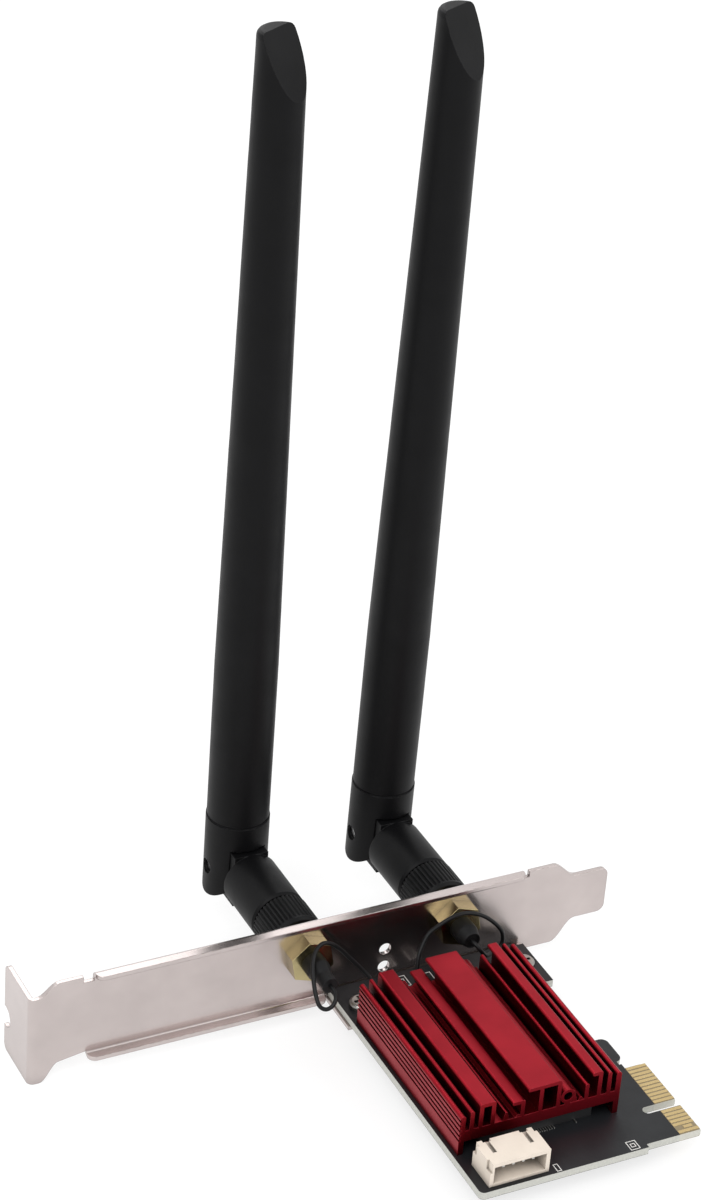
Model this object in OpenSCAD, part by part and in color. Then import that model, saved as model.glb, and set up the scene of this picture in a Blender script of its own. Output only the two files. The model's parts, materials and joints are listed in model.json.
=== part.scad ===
/* [Bracket] */
// Length of the bracket, from the outer face of the screw tab to the end of the tongue
bracket_length = 120.02; // [117:0.01:124]
// Width of the slot plate
bracket_width = 18.42; // [17.6:0.01:19.4]
// Thickness of the bracket's steel sheet
bracket_sheet = 0.86; // [0.7:0.01:1.1]
// Inside radius of every bend in the sheet
bend_radius = 0.4; // [0.2:0.05:0.7]
// Depth of the screw tab, from the outer face of the plate
tab_depth = 11.43; // [10:0.01:13]
// Width of the screw tab
tab_width = 19.3; // [18.4:0.1:20.5]
// How far the tab's lower edge lies below the screw slot
tab_drop = 7.6; // [6.5:0.1:8.5]
// Radius of the screw slot
slot_radius = 2.21; // [1.8:0.01:2.5]
// Distance from the slot's centre to the open edge of the tab
slot_inset = 0.6; // [0.2:0.1:1.2]
// Distance from the slot's centre down to the plate's lower edge
plate_drop = 4.02; // [3.5:0.01:4.5]
// Radius of the tab's two free corners
tab_corner = 1.4; // [0.6:0.1:2.4]
// Length over which the edges swing from the tab to the plate
tab_shoulder = 5; // [3:0.1:7]
// Width of the tongue at the far end
tongue_width = 10.19; // [9:0.01:11]
// Length of the straight part of the tongue
tongue_length = 6.6; // [5:0.1:9]
// Radius of the tongue's two corners
tongue_corner = 1.6; // [0.5:0.1:3]
// Length over which the plate narrows to the tongue
tongue_shoulder = 4.9; // [3:0.1:7]
// Height of the tongue's lower edge above the plate's lower edge
tongue_rise = 4.74; // [3:0.01:6]
// Depth of the two stiffening lips, from the outer face of the plate
lip_depth = 2.75; // [2:0.05:4]
// Where the upper lip starts, from the tab's seat
upper_lip_start = 11.6; // [11:0.1:20]
// Where the upper lip ends
upper_lip_end = 100; // [90:0.1:102]
// Where the lower lip starts
lower_lip_start = 10.5; // [9:0.1:20]
// Gap between the end of the lower lip and the circuit board
lower_lip_gap = 0.6; // [0.3:0.1:2]
// Width of the relief notch beside the upper lip's start
relief_width = 2.1; // [1:0.1:4]
// Width of the other relief notches
relief_narrow = 1.4; // [0.8:0.1:2]
// Diameter of the two small holes in the plate
pilot_hole = 2.5; // [1.5:0.1:3]
// Distance between the two small holes
pilot_spacing = 4.1; // [3.2:0.1:6]
// Width of each ear under the circuit board
ear_width = 8; // [6:0.1:10]

/* [Circuit board] */
// Thickness of the circuit board
board_thickness = 1.6; // [1.2:0.1:2]
// Height of the board's upper face above the bracket's lower edge
board_height = 2.07; // [1.8:0.01:2.4]
// Distance from the tab's seat to the board's left edge
board_left = 59.5; // [58:0.1:61.5]
// Length of the board, from the bracket to its front edge
board_length = 62.2; // [60:0.1:66]
// Gap between the bracket and the board's back edge
board_gap = 0.3; // [0.1:0.1:0.8]
// Distance from the board's left edge to the tip of the edge contacts
board_width = 45.5; // [45:0.1:47]
// Length of the edge contact block along the board
finger_block = 20.1; // [19.4:0.1:21]
// How far the edge contact block stands out from the board
finger_reach = 4.35; // [4:0.05:5.5]
// Pitch of the edge contacts
pad_pitch = 1; // [0.9:0.01:1.04]
// Width of one edge contact
pad_width = 0.7; // [0.5:0.05:0.8]
// Thickness of one edge contact
pad_thickness = 0.05; // [0.03:0.01:0.1]
// Width of the key notch between the edge contacts
key_width = 1.9; // [1.6:0.05:2]
// Depth of the key notch
key_depth = 7.4; // [6:0.1:8.5]
// Diameter of the screws that hold the bracket's ears
board_screw = 3; // [2.5:0.1:3.4]
// Distance from the bracket's inner face to the ear screws
screw_setback = 6.96; // [6.2:0.01:8]
// Distance from the board's left edge to the first ear screw
first_screw = 3.6; // [3.2:0.1:4.5]
// Distance between the two ear screws
screw_span = 34.7; // [33:0.1:36]

/* [Heat sink] */
// Width of the heat sink
sink_width = 32.8; // [32.2:0.1:33.4]
// Gap between the header and the heat sink's front end
sink_gap = 3.1; // [2.4:0.1:5]
// Distance from the board's left edge to the heat sink
sink_inset = 0.7; // [0.3:0.1:1.2]
// Distance from the bracket's inner face to the heat sink
sink_setback = 11.1; // [10.5:0.1:13]
// Height of the base plate's lower face above the board
sink_clear = 2.9; // [2.9:0.1:3.6]
// Thickness of the base plate
sink_base = 2.4; // [1.6:0.1:2.8]
// Height of the left wall
left_wall_height = 8.7; // [7:0.1:10]
// Height of the right wall
right_wall_height = 9.4; // [8:0.1:10.5]
// Thickness of the two side walls
wall_thickness = 1.1; // [0.8:0.1:1.3]
// Thickness of the thin fins
fin_thickness = 0.84; // [0.6:0.02:1]
// Height of the wide bare plate that the two middle legs carry
crest_height = 11.1; // [10.4:0.1:12]
// Width of that wide plate
crest_width = 6.8; // [6.4:0.1:7.2]
// Thickness of the flat tops
top_thickness = 0.8; // [0.6:0.05:1.1]
// Diameter of the bore in the round channel
channel_bore = 1.74; // [1.2:0.02:2]
// Wall around that bore
channel_wall = 0.65; // [0.45:0.05:0.8]
// Number of grooves in the left wall's outer face
groove_count = 5; // [3:1:5]
// Depth of those grooves
groove_depth = 0.3; // [0.1:0.05:0.5]

/* [Radio module] */
// Width of the plug-in module
module_width = 22; // [21:0.1:23]
// Length of the plug-in module
module_length = 30; // [28:0.1:31]
// Thickness of the module's board
module_board = 0.8; // [0.6:0.1:0.8]
// Height of the module's board above the circuit board
module_height = 0.7; // [0.5:0.1:0.7]
// Height of the metal shield on the module
shield_height = 1; // [0.8:0.1:1.1]
// Height of the module socket
socket_height = 2.6; // [2.2:0.1:2.7]
// Pitch of the socket's solder tails
tail_pitch = 0.5; // [0.45:0.01:0.55]
// Diameter of the module's screw
module_screw_size = 2; // [1.6:0.1:2.2]

/* [Header] */
// Number of pins in the header
header_ways = 4; // [2:1:4]
// Pitch of the header's pins
header_pitch = 2; // [1.8:0.1:2.2]
// Width of one square pin
pin_width = 0.5; // [0.4:0.05:0.64]
// Depth of the header from its mouth to its back
header_depth = 6.6; // [6:0.1:7.6]
// Height of the header
header_height = 5.1; // [4.6:0.1:5.6]
// Thickness of the header's walls
header_wall = 0.8; // [0.6:0.05:0.9]
// Distance from the board's left edge to the header
header_inset = 2; // [0.8:0.1:3]
// Distance from the board's front edge to the header's mouth
header_setback = 0.9; // [0.3:0.1:1.5]

/* [Antenna jacks] */
// Distance from the tab's seat to the left jack
left_jack = 54.4; // [51:0.1:55]
// Distance between the two jacks
jack_span = 31.1; // [30:0.1:34]
// Height of the jacks above the screw slot
jack_height = 7.6; // [7:0.1:8.4]
// Diameter of the jack's outside thread
thread_diameter = 6.35; // [6:0.01:6.6]
// Width across the flats of the jack's hexagon behind the bracket
hex_size = 8; // [7.6:0.1:8.6]
// Width across the flats of the nut that clamps the jack
nut_size = 8; // [7.6:0.1:8.2]
// Thickness of the hexagon behind the bracket
hex_thickness = 3; // [2:0.1:3.4]
// Thickness of the lock washer
washer_thickness = 0.5; // [0.3:0.05:0.6]
// Thickness of the hexagonal nut
nut_thickness = 1.9; // [1.5:0.1:2]
// How far the jack reaches out of the bracket's inner face
jack_reach = 9.8; // [9.1:0.1:10.3]
// Diameter of the coaxial leads
lead_diameter = 0.81; // [0.7:0.01:0.9]
// Outer diameter of the shrink sleeve over the crimp
sleeve_diameter = 4.6; // [4:0.1:5]
// Outer diameter of the shrink sleeve's thin end
sleeve_end = 3.2; // [2.4:0.1:3.6]

/* [Antennas] */
// Distance from the slot's centre to the hinge pins
hinge_reach = 20.6; // [19:0.1:22.5]
// Height of a whip's tip above its hinge pin
whip_height = 171.4; // [120:0.1:190]
// Diameter of the fork at a whip's foot
whip_foot = 12.4; // [12.2:0.1:13.6]
// Diameter of a whip above its seam
whip_body = 12.1; // [11.4:0.1:12.2]
// Diameter of a whip at its tip
whip_tip = 8.9; // [8:0.1:11]
// Wall of the hollow whip
whip_wall = 1; // [0.8:0.1:1.6]
// How far the slanted facet runs down the tip
facet_drop = 12; // [8:0.1:18]
// Outward lean of the left whip
left_lean = 0.1; // [0:0.05:3]
// Outward lean of the right whip
right_lean = 1; // [0:0.05:3]
// Diameter of the knurled coupling nut
knurl_diameter = 11.4; // [11.2:0.1:12.4]
// Number of ribs on the coupling nut
knurl_count = 42; // [24:1:48]
// Depth of the grooves between those ribs
knurl_depth = 0.35; // [0.2:0.05:0.5]
// Length of the coupling nut
knurl_length = 8.2; // [7.6:0.1:8.4]
// Diameter of the antenna's smooth base
base_diameter = 11.2; // [10.8:0.1:11.8]
// Thickness of the hinge tongue
hinge_tongue = 7; // [6:0.1:7.8]
// Radius of the hinge tongue's end
tongue_radius = 5.6; // [5:0.1:5.8]
// Diameter of the hinge pin
hinge_pin = 2.5; // [2:0.1:3]
// Radius of the fork's two ears
ear_radius = 6.1; // [5.8:0.1:6.1]
// Height of the seam between fork and whip above the hinge pin
seam_height = 11.5; // [10:0.1:14]

/* [Clearances] */
// Radial clearance of a turning fit
running_clearance = 0.05; // [0.03:0.01:0.08]
// Clearance on each side of a loose fit
loose_clearance = 0.1; // [0.08:0.01:0.15]
// Clearance between bodies that move past each other
sweep_clearance = 0.3; // [0.25:0.01:0.4]

/* [Hidden] */
$fn = 48;

// Cutting solids run past a face by this much
over = 1;

// Bracket levels: X runs from the tab's seat to the tongue, Y out of the computer, Z up
outer_y = slot_inset - tab_depth;
inner_y = outer_y - bracket_sheet;
plate_low = -plate_drop;
plate_high = plate_low + bracket_width;
tab_low = -tab_drop;
tab_high = tab_low + tab_width;
bracket_end = bracket_length - bracket_sheet;
tongue_low = plate_low + tongue_rise;
tongue_high = tongue_low + tongue_width;
bend_outer = bend_radius + bracket_sheet;
shoulder_steps = 8;
lip_corner = 1.5;
shoulder_rise = 0.4;
lip_high = plate_high + 0.6;
upper_shoulder_extra = 0.8;
upper_shoulder_lead = 0.4;

// Circuit board levels
board_top = plate_low + board_height;
board_low = board_top - board_thickness;
board_back = inner_y - board_gap;
board_front = inner_y - board_gap - board_length;
board_right = board_left + board_width;
finger_root = board_right - finger_reach;
front_step = 0.9;
front_step_width = 11.4;
finger_start_y = board_front + front_step;
finger_end_y = finger_start_y + finger_block;
key_from_start = 8.15;
pads_before_key = 7;
pads_after_key = 11;
pad_end_gap = 0.15;
pad_short = 1.6;
short_pad = 1;
contact_corner = 1.5;
board_corner = 1;
finger_bevel = 0.15;
bevel_length = 0.4;

// Outline of the board's right side: how far each stretch lies from the contact tips
rear_corner_cut = 0.7;
rear_edge = 3.95;
recess_edge = 5.65;
hook_edge = 3.45;
rear_edge_end = 12.9;
recess_end = 32;
hook_end = 38.9;
hook_corner = 1.4;

// Ears and their screws
ear_top = board_low;
ear_low = ear_top - bracket_sheet;
ear_reach = screw_setback + 3.2;
screw_y = inner_y - screw_setback;
screw_xs = [for (i = [0, 1]) board_left + first_screw + i * screw_span];
screw_head = 1.5 * board_screw;
screw_head_height = 0.4 * board_screw;
cross_width = 0.22 * board_screw;
cross_span = 0.95 * board_screw;
cross_depth = 0.22 * board_screw;
screw_end = ear_low - 0.4;

// Two small holes in the plate, between the antennas
pilot_x = left_jack + 0.54 * jack_span;
pilot_z = jack_height - 5.5;

// Heat sink: positions across it, from its left face
sink_x = board_left + sink_inset;
sink_back = inner_y - sink_setback;
sink_front = board_front + header_setback + header_depth + sink_gap;
base_top = sink_clear + sink_base;
// Thin fins: share of the width to the fin's left face, share of the crest height to its tip
thin_fins = [[0.06, 0.84], [0.772, 0.78], [0.911, 0.9]];
// Low ridges with a narrow top: share of the width to the middle, share of the crest height
ridges = [[0.284, 0.634], [0.361, 0.527], [0.707, 0.66], [0.75, 0.545]];
ridge_foot = 0.7;
// Flat tops: shares of the width to their two ends, share of the crest height, shares to the legs
flat_tops = [[0.115, 0.213, 0.935, [0.115, 0.189]],
             [0.318, 0.398, 0.8, [0.372]],
             [0.812, 0.877, 0.97, [0.851]]];
crest_start = 0.41 * sink_width;
crest_legs = [0.352, 0.887];
channel_x = 0.667 * sink_width;
channel_height = 7;
groove_pitch = 1.1;
groove_first = 0.7;
groove_width = 0.5;

// Radio module under the heat sink
module_x = sink_x + (sink_width - module_width) / 2;
module_top = board_top + module_height + module_board;
shield_top = module_top + shield_height;
module_front = sink_front + 4.6;
module_back = module_front + module_length;
socket_front = sink_front + 1;
socket_depth = 5.4;
socket_grip = 1.7;
socket_wall = 0.5;
tail_count = 33;
tail_gap = [24, 31];
tail_width = 0.45 * tail_pitch;
tail_height = 0.15;
tail_length = 0.9;
shield_margin = 0.9;
shield_start = 3;
shield_length = 20;
standoff_radius = 1.9;
module_notch = 1.75;
screw_thread = module_screw_size / 2;
module_head = 0.9 * module_screw_size;
module_head_height = 0.6;
plug_radius = 1.1;
plug_height = 1.1;
plug_xs = [module_x + 2.2, module_x + 8.2];
plug_y = module_back - 2.6;
lead_drop = 0.7;

// Header
header_width = header_ways * header_pitch + 4;
header_x = board_left + header_inset;
header_front = board_front + header_setback;
header_back = header_front + header_depth;
pin_x0 = header_x + header_width / 2 - (header_ways - 1) * header_pitch / 2;
pin_z = board_top + 3.4;
pin_fall_y = header_back + 0.7;
pin_tail = board_low - 1;
header_floor = 0.7;
top_slots = [0.19, 0.81];
top_slot_width = 0.8;
top_slot_length = 3.7;
top_slot_depth = 0.7;
shoulder_share = 0.62;
mouth_step = 1.6;
back_notch = 1.2;
latch_step = 0.5;
pin_hole = 0.75 * pin_width + loose_clearance;

// Jacks
jack_xs = [left_jack, left_jack + jack_span];
thread_radius = thread_diameter / 2;
jack_hole = thread_radius + loose_clearance;
jack_front = inner_y + jack_reach;
hex_radius = hex_size / 2 / cos(30);
nut_radius = nut_size / 2 / cos(30);
hex_back = inner_y - hex_thickness;
hex_turn = 41;
crimp_radius = sleeve_diameter / 2 - 0.6;
crimp_length = 2.8;
crimp_back = hex_back - crimp_length;
jack_bore = 2.3;
jack_bore_depth = 5.6;
insulator_depth = 3.6;
contact_radius = 0.46;
contact_length = 4.4;
washer_radius = nut_size / 2 + 0.5;
nut_back = outer_y + washer_thickness;
nut_front = nut_back + nut_thickness;
lead_radius = lead_diameter / 2;
sleeve_bore = lead_radius + 0.02;
sleeve_shoulder = 2.6;
sleeve_taper = 2.2;
sleeve_ends = [-22.2, -19.2];

// Antennas
knurl_front = -8.2;
knurl_back = knurl_front + knurl_length;
knurl_radius = knurl_diameter / 2;
knurl_lip = 0.9;
knurl_chamfer = 0.5;
nut_pocket = nut_radius + sweep_clearance + loose_clearance;
nut_pocket_end = nut_front + sweep_clearance;
coupling_bore = thread_radius + running_clearance;
shoulder_radius = thread_radius - 0.15;
neck_radius = thread_radius - 0.8;
neck_bore = neck_radius + running_clearance;
ferrule_front = jack_front + running_clearance;
lip_front = ferrule_front + 0.85;
base_back = knurl_back + loose_clearance;
ferrule_back = base_back + 2.6;
base_front = hinge_reach - whip_foot / 2 - sweep_clearance;
base_radius = base_diameter / 2;
base_round = 0.6;
socket_pin_outer = 0.85;
socket_pin_inner = contact_radius + loose_clearance;
socket_pin_front = jack_front - 3.4;
fork_radius = whip_foot / 2;
fork_slot = hinge_tongue / 2 + loose_clearance;
fork_roof = tongue_radius + sweep_clearance;
pin_radius = hinge_pin / 2;
pin_recess = pin_radius + 0.3;
pin_recess_depth = 0.45;
pin_half = fork_radius - pin_recess_depth - 0.35;
plug_in_length = 5;
seam_groove = 0.25;
seam_width = 0.5;
whip_steps = 14;
taper_start = 0.26 * whip_height;
tip_round = 1.2;
tip_steps = 4;
facet_back = 0.25;
facet_turn = 28;
radiator_radius = 0.6;
radiator_sleeve = 2;
radiator_wall = 0.3;
radiator_top = 0.42 * whip_height;
radiator_sleeve_start = 0.2 * whip_height;
radiator_sleeve_length = 0.14 * whip_height;

// Routes of the two coaxial leads, from the crimp to the module's plug
left_route = [[54.6, -23.7, 7.3], [54.2, -24.8, 6.2], [53, -25, 5.5], [52.1, -23.8, 5.8],
              [52, -22, 7.2], [52.3, -20, 8.8], [52.9, -17.8, 10], [54, -15.8, 10.9],
              [55.3, -15.3, 12.1], [57.5, -14.9, 11.8], [60.2, -14.6, 8.9],
              [62.2, -14.8, 6.5], [64.6, -15.6, 3.7], [66.4, -17.6, 1.6], [67.4, -20.2, 0.5],
              [67.7, -23, 0.25], [67.8, -26, 0.25]];
right_route = [[86, -20.3, 7.3], [86.6, -20.5, 6.1], [87.6, -19.8, 4.6], [89.1, -18.6, 3],
               [91.1, -17.4, 1.8], [92.9, -16.9, 2], [93.9, -16.7, 3.4], [93.1, -16.7, 6],
               [91.3, -16.7, 8.7], [88.5, -16.7, 11], [85.2, -16.7, 12.3], [82.3, -16.7, 12.1],
               [79.9, -16.7, 11.1], [77.4, -17, 9.9], [75.8, -17.7, 8.1], [74.6, -18.7, 6.4],
               [73.9, -19.8, 4.2], [73.5, -20.8, 2.2], [73.5, -22.2, 0.8], [73.7, -24.4, 0.25],
               [74, -26.6, 0.25]];
lead_sides = 8;
ring_spacing = 1.9;

// Which node to draw

// Points of an S-shaped edge between two corners
function eased(from, to) =
    [for (i = [0 : shoulder_steps])
        let (t = i / shoulder_steps)
            [from[0] + (to[0] - from[0]) * t,
             from[1] + (to[1] - from[1]) * (1 - cos(180 * t)) / 2]];

function unit(v) = v / norm(v);

// Point on the smooth curve through p[i] and p[i + 1]
function spline(p, i, t) =
    let (a = p[max(i - 1, 0)], b = p[i], c = p[i + 1], d = p[min(i + 2, len(p) - 1)])
        (2 * b + (c - a) * t + (2 * a - 5 * b + 4 * c - d) * t * t
         + (3 * b - a - 3 * c + d) * t * t * t) / 2;

// Route with extra points, so that rings lie about ring_spacing apart
function smooth_route(p) =
    concat([for (i = [0 : len(p) - 2])
               let (n = max(1, ceil(norm(p[i + 1] - p[i]) / ring_spacing)))
                   for (k = [0 : n - 1]) spline(p, i, k / n)],
           [p[len(p) - 1]]);

function heading(p, i) = unit(p[min(i + 1, len(p) - 1)] - p[max(i - 1, 0)]);

// A side vector for each ring, carried along the route without twist
function side_vectors(p) =
    [for (i = 0, u = unit(cross(heading(p, 0), [1, 1, 0.3]));
          i < len(p);
          i = i + 1,
          u = i < len(p) ? unit(u - (u * heading(p, i)) * heading(p, i)) : u) u];

module tube(route, radius, sides) {
    p = smooth_route(route);
    u = side_vectors(p);
    n = len(p);
    points = [for (i = [0 : n - 1])
                 let (v = cross(heading(p, i), u[i]))
                     for (k = [0 : sides - 1])
                         let (a = 360 * k / sides)
                             p[i] + radius * (cos(a) * u[i] + sin(a) * v)];
    skin = [for (i = [0 : n - 2], k = [0 : sides - 1])
               let (l = (k + 1) % sides)
                   for (f = [[i * sides + k, (i + 1) * sides + k, (i + 1) * sides + l],
                             [i * sides + k, (i + 1) * sides + l, i * sides + l]]) f];
    caps = [[for (k = [0 : sides - 1]) k],
            [for (k = [sides - 1 : -1 : 0]) (n - 1) * sides + k]];
    polyhedron(points = points, faces = concat(skin, caps));
}

// Profile in X and Z, extruded from y0 to y1
module along_y(y0, y1) {
    translate([0, y1, 0])
        rotate([90, 0, 0])
            linear_extrude(y1 - y0) children();
}

// Profile in Y and Z, extruded from x0 to x1
module along_x(x0, x1) {
    translate([x0, 0, 0])
        rotate([90, 0, 90])
            linear_extrude(x1 - x0) children();
}

// Profile in X and Y, extruded from z0 to z1
module along_z(z0, z1) {
    translate([0, 0, z0])
        linear_extrude(z1 - z0) children();
}

module rod_y(radius, y0, y1) {
    along_y(y0, y1) circle(radius);
}

module ring_y(outer, inner, y0, y1) {
    along_y(y0, y1)
        difference() {
            circle(outer);
            circle(inner);
        }
}

module box(from, to) {
    translate(from) cube(to - from);
}

module rect(from, to) {
    translate(from) square(to - from);
}

// What is cut away to round a corner that points along [sx, sy]
module corner_cut(at, radius, sx, sy) {
    translate(at)
        mirror([sx < 0 ? 1 : 0, 0])
            mirror([0, sy < 0 ? 1 : 0])
                difference() {
                    translate([-radius, -radius]) square(radius + over);
                    translate([-radius, -radius]) circle(radius);
                }
}

module at_jacks() {
    for (x = jack_xs)
        translate([x, 0, jack_height]) children();
}

// Frame of one antenna: side is -1 for the left and 1 for the right
module antenna_frame(side) {
    translate([jack_xs[side < 0 ? 0 : 1], 0, jack_height])
        rotate([0, side < 0 ? -left_lean : right_lean, 0]) children();
}

// Quarter of a bent sheet around [0, 0], seen from its open side
module quarter_bend() {
    intersection() {
        difference() {
            circle(bend_outer);
            circle(bend_radius);
        }
        square(bend_outer + over);
    }
}

// A lip along an edge, with its two free corners rounded
module edge_lip(x0, x1, edge, up) {
    difference() {
        along_x(x0, x1) lip_profile(edge, up, lip_depth);
        along_z(edge - bend_outer - over, edge + bend_outer + over)
            for (s = [-1, 1])
                corner_cut([s < 0 ? x0 : x1, outer_y - lip_depth], lip_corner, s, -1);
    }
}

// Bent lip in Y and Z that leaves the plate towards the board at one edge
module lip_profile(edge, up, depth) {
    translate([outer_y - bend_outer, edge - up * bend_outer])
        mirror([0, up < 0 ? 1 : 0])
            quarter_bend();
    rect([outer_y - depth, min(edge, edge - up * bracket_sheet)],
         [outer_y - bend_outer, max(edge, edge - up * bracket_sheet)]);
}

module plate_outline() {
    upper_tab = [-bracket_sheet - over, tab_high];
    difference() {
        polygon(concat(
            [[-bracket_sheet - over, tab_low]],
            eased([bend_outer, tab_low], [tab_shoulder, plate_low + shoulder_rise]),
            [[lower_lip_start - relief_narrow / 4, plate_low + bend_outer],
             [lower_lip_start + over, plate_low + bend_outer],
             [lower_lip_start + over, plate_low]],
            eased([bracket_end - tongue_length - tongue_shoulder, plate_low],
                  [bracket_end - tongue_length, tongue_low]),
            [[bracket_end, tongue_low], [bracket_end, tongue_high]],
            eased([bracket_end - tongue_length - upper_shoulder_lead, tongue_high],
                  [bracket_end - tongue_length - tongue_shoulder - upper_shoulder_extra,
                   plate_high]),
            eased([tab_shoulder, plate_high], [bracket_sheet / 2, tab_high]),
            [upper_tab]));
        rect([upper_lip_start - relief_width, plate_high - bend_outer],
             [upper_lip_start, plate_high + over]);
        rect([upper_lip_start - over, lip_high - bend_outer],
             [upper_lip_end + over, plate_high + over]);
        rect([upper_lip_end, plate_high - bend_outer],
             [upper_lip_end + relief_narrow, plate_high + over]);
        rect([lower_lip_start - relief_narrow / 4, plate_low - over],
             [board_left - lower_lip_gap, plate_low + bend_outer]);
        corner_cut([bracket_end, tongue_low], tongue_corner, 1, -1);
        corner_cut([bracket_end, tongue_high], tongue_corner, 1, 1);
    }
}

// The sheet seen from above: the plate, the bend and the screw tab
module sheet_profile() {
    translate([bend_radius, outer_y + bend_radius])
        rotate(180) quarter_bend();
    rect([bend_radius, inner_y], [bracket_end, outer_y]);
    rect([-bracket_sheet, outer_y + bend_radius], [0, slot_inset]);
}

module bracket() {
    color("lightgray")
    difference() {
        union() {
            intersection() {
                along_z(tab_low, plate_high) sheet_profile();
                along_y(inner_y - over, slot_inset + over) plate_outline();
            }
            edge_lip(upper_lip_start, upper_lip_end, lip_high, 1);
            edge_lip(lower_lip_start, board_left - lower_lip_gap, plate_low, -1);
            for (x = screw_xs)
                bracket_ear(x);
        }
        tab_cuts();
        at_jacks() rod_y(jack_hole, inner_y - over, outer_y + over);
        for (i = [-0.5, 0.5])
            translate([pilot_x, 0, pilot_z + i * pilot_spacing])
                rod_y(pilot_hole / 2, inner_y - over, outer_y + over);
    }
}

// One ear that lies under the board and takes a screw
module bracket_ear(x) {
    difference() {
        union() {
            along_x(x - ear_width / 2, x + ear_width / 2)
                lip_profile(ear_low, -1, ear_reach + bracket_sheet);
            box([x - ear_width / 2, inner_y, ear_low + bend_outer],
                [x + ear_width / 2, outer_y, ear_low + 2 * bend_outer]);
        }
        translate([x, screw_y, ear_low - over])
            cylinder(r = board_screw / 2, h = bracket_sheet + 2 * over);
    }
}

module tab_cuts() {
    along_x(-bracket_sheet - over, over) {
        circle(slot_radius);
        corner_cut([slot_inset, tab_high], tab_corner, 1, 1);
        corner_cut([slot_inset, tab_low], tab_corner, 1, -1);
    }
}

module board_outline() {
    right = [[finger_root, finger_end_y],
             [finger_root, board_back - hook_end],
             [board_right - hook_edge, board_back - hook_end],
             [board_right - hook_edge, board_back - recess_end],
             [board_right - recess_edge, board_back - recess_end],
             [board_right - recess_edge, board_back - rear_edge_end],
             [board_right - rear_edge, board_back - rear_edge_end],
             [board_right - rear_edge, board_back - rear_corner_cut],
             [board_right - recess_edge, board_back - rear_corner_cut],
             [board_right - recess_edge, board_back]];
    difference() {
        polygon(concat(
            [[board_left, board_back], [board_left, board_front],
             [board_right - front_step_width, board_front],
             [board_right - front_step_width, finger_start_y],
             [board_right, finger_start_y], [board_right, finger_end_y]],
            right));
        corner_cut([board_left, board_front], board_corner, -1, -1);
        corner_cut([board_right, finger_end_y], contact_corner, 1, 1);
        corner_cut([board_right - hook_edge, board_back - hook_end], hook_corner, 1, -1);
        corner_cut([board_right - hook_edge, board_back - recess_end], hook_corner, 1, 1);
        key_notch();
    }
}

module key_notch() {
    y = finger_start_y + key_from_start;
    rect([board_right - key_depth + key_width / 2, y - key_width / 2],
         [board_right + over, y + key_width / 2]);
    translate([board_right - key_depth + key_width / 2, y]) circle(key_width / 2);
}

module circuit_board() {
    color("dimgray")
    difference() {
        along_z(board_low, board_top) board_outline();
        for (x = screw_xs)
            translate([x, screw_y, board_low - over])
                cylinder(r = board_screw / 2 + loose_clearance, h = board_thickness + 2 * over);
        for (i = [0 : header_ways - 1])
            translate([pin_x0 + i * header_pitch, pin_fall_y, board_low - over])
                cylinder(r = pin_hole, h = board_thickness + 2 * over);
        translate([module_x + module_width / 2, module_back, board_low - over])
            cylinder(r = screw_thread + loose_clearance, h = board_thickness + 2 * over);
        for (up = [0, 1])
            finger_bevel_cut(up);
    }
}

// Bevel along the tips of the edge contacts, above or below
module finger_bevel_cut(up) {
    z = up > 0 ? board_top : board_low;
    s = up > 0 ? 1 : -1;
    along_y(finger_start_y - over, finger_end_y + over)
        polygon([[board_right - finger_bevel, z],
                 [board_right - finger_bevel, z + s * over],
                 [board_right + over, z + s * over],
                 [board_right + over, z - s * bevel_length],
                 [board_right, z - s * bevel_length]]);
}

// Centre of each contact along the board, from the front edge
function pad_ys() =
    let (key = finger_start_y + key_from_start,
         half = 1.5 * pad_pitch)
        concat([for (i = [0 : pads_before_key - 1])
                   key - half - (pads_before_key - 1 - i) * pad_pitch],
               [for (i = [0 : pads_after_key - 1]) key + half + i * pad_pitch]);

module edge_contacts() {
    color("gold")
    for (i = [0 : pads_before_key + pads_after_key - 1], up = [0, 1]) {
        y = pad_ys()[i];
        start = finger_root + (i == short_pad && up > 0 ? pad_short : 0);
        box([start, y - pad_width / 2, up > 0 ? board_top : board_low - pad_thickness],
            [board_right - pad_end_gap - (i == short_pad && up > 0 ? pad_short : 0) / 2,
             y + pad_width / 2,
             up > 0 ? board_top + pad_thickness : board_low]);
    }
}

// A fin from the base plate up to its round tip
module fin(x, height, thickness) {
    rect([x, base_top - sink_base / 2], [x + thickness, height - thickness / 2]);
    translate([x + thickness / 2, height - thickness / 2]) circle(thickness / 2);
}

module ridge(x, height) {
    polygon([[x - ridge_foot, base_top - sink_base / 2], [x - ridge_foot, base_top],
             [x - ridge_foot / 4, height], [x + ridge_foot / 4, height],
             [x + ridge_foot, base_top], [x + ridge_foot, base_top - sink_base / 2]]);
}

// A flat top on its legs, with rounded outer corners
module flat_top(x0, x1, height, legs) {
    r = top_thickness / 2;
    rect([x0 + r, height - top_thickness], [x1 - r, height]);
    for (x = [x0 + r, x1 - r])
        translate([x, height - r]) circle(r);
    for (x = legs)
        rect([x, base_top - sink_base / 2], [x + fin_thickness, height - r]);
}

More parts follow.
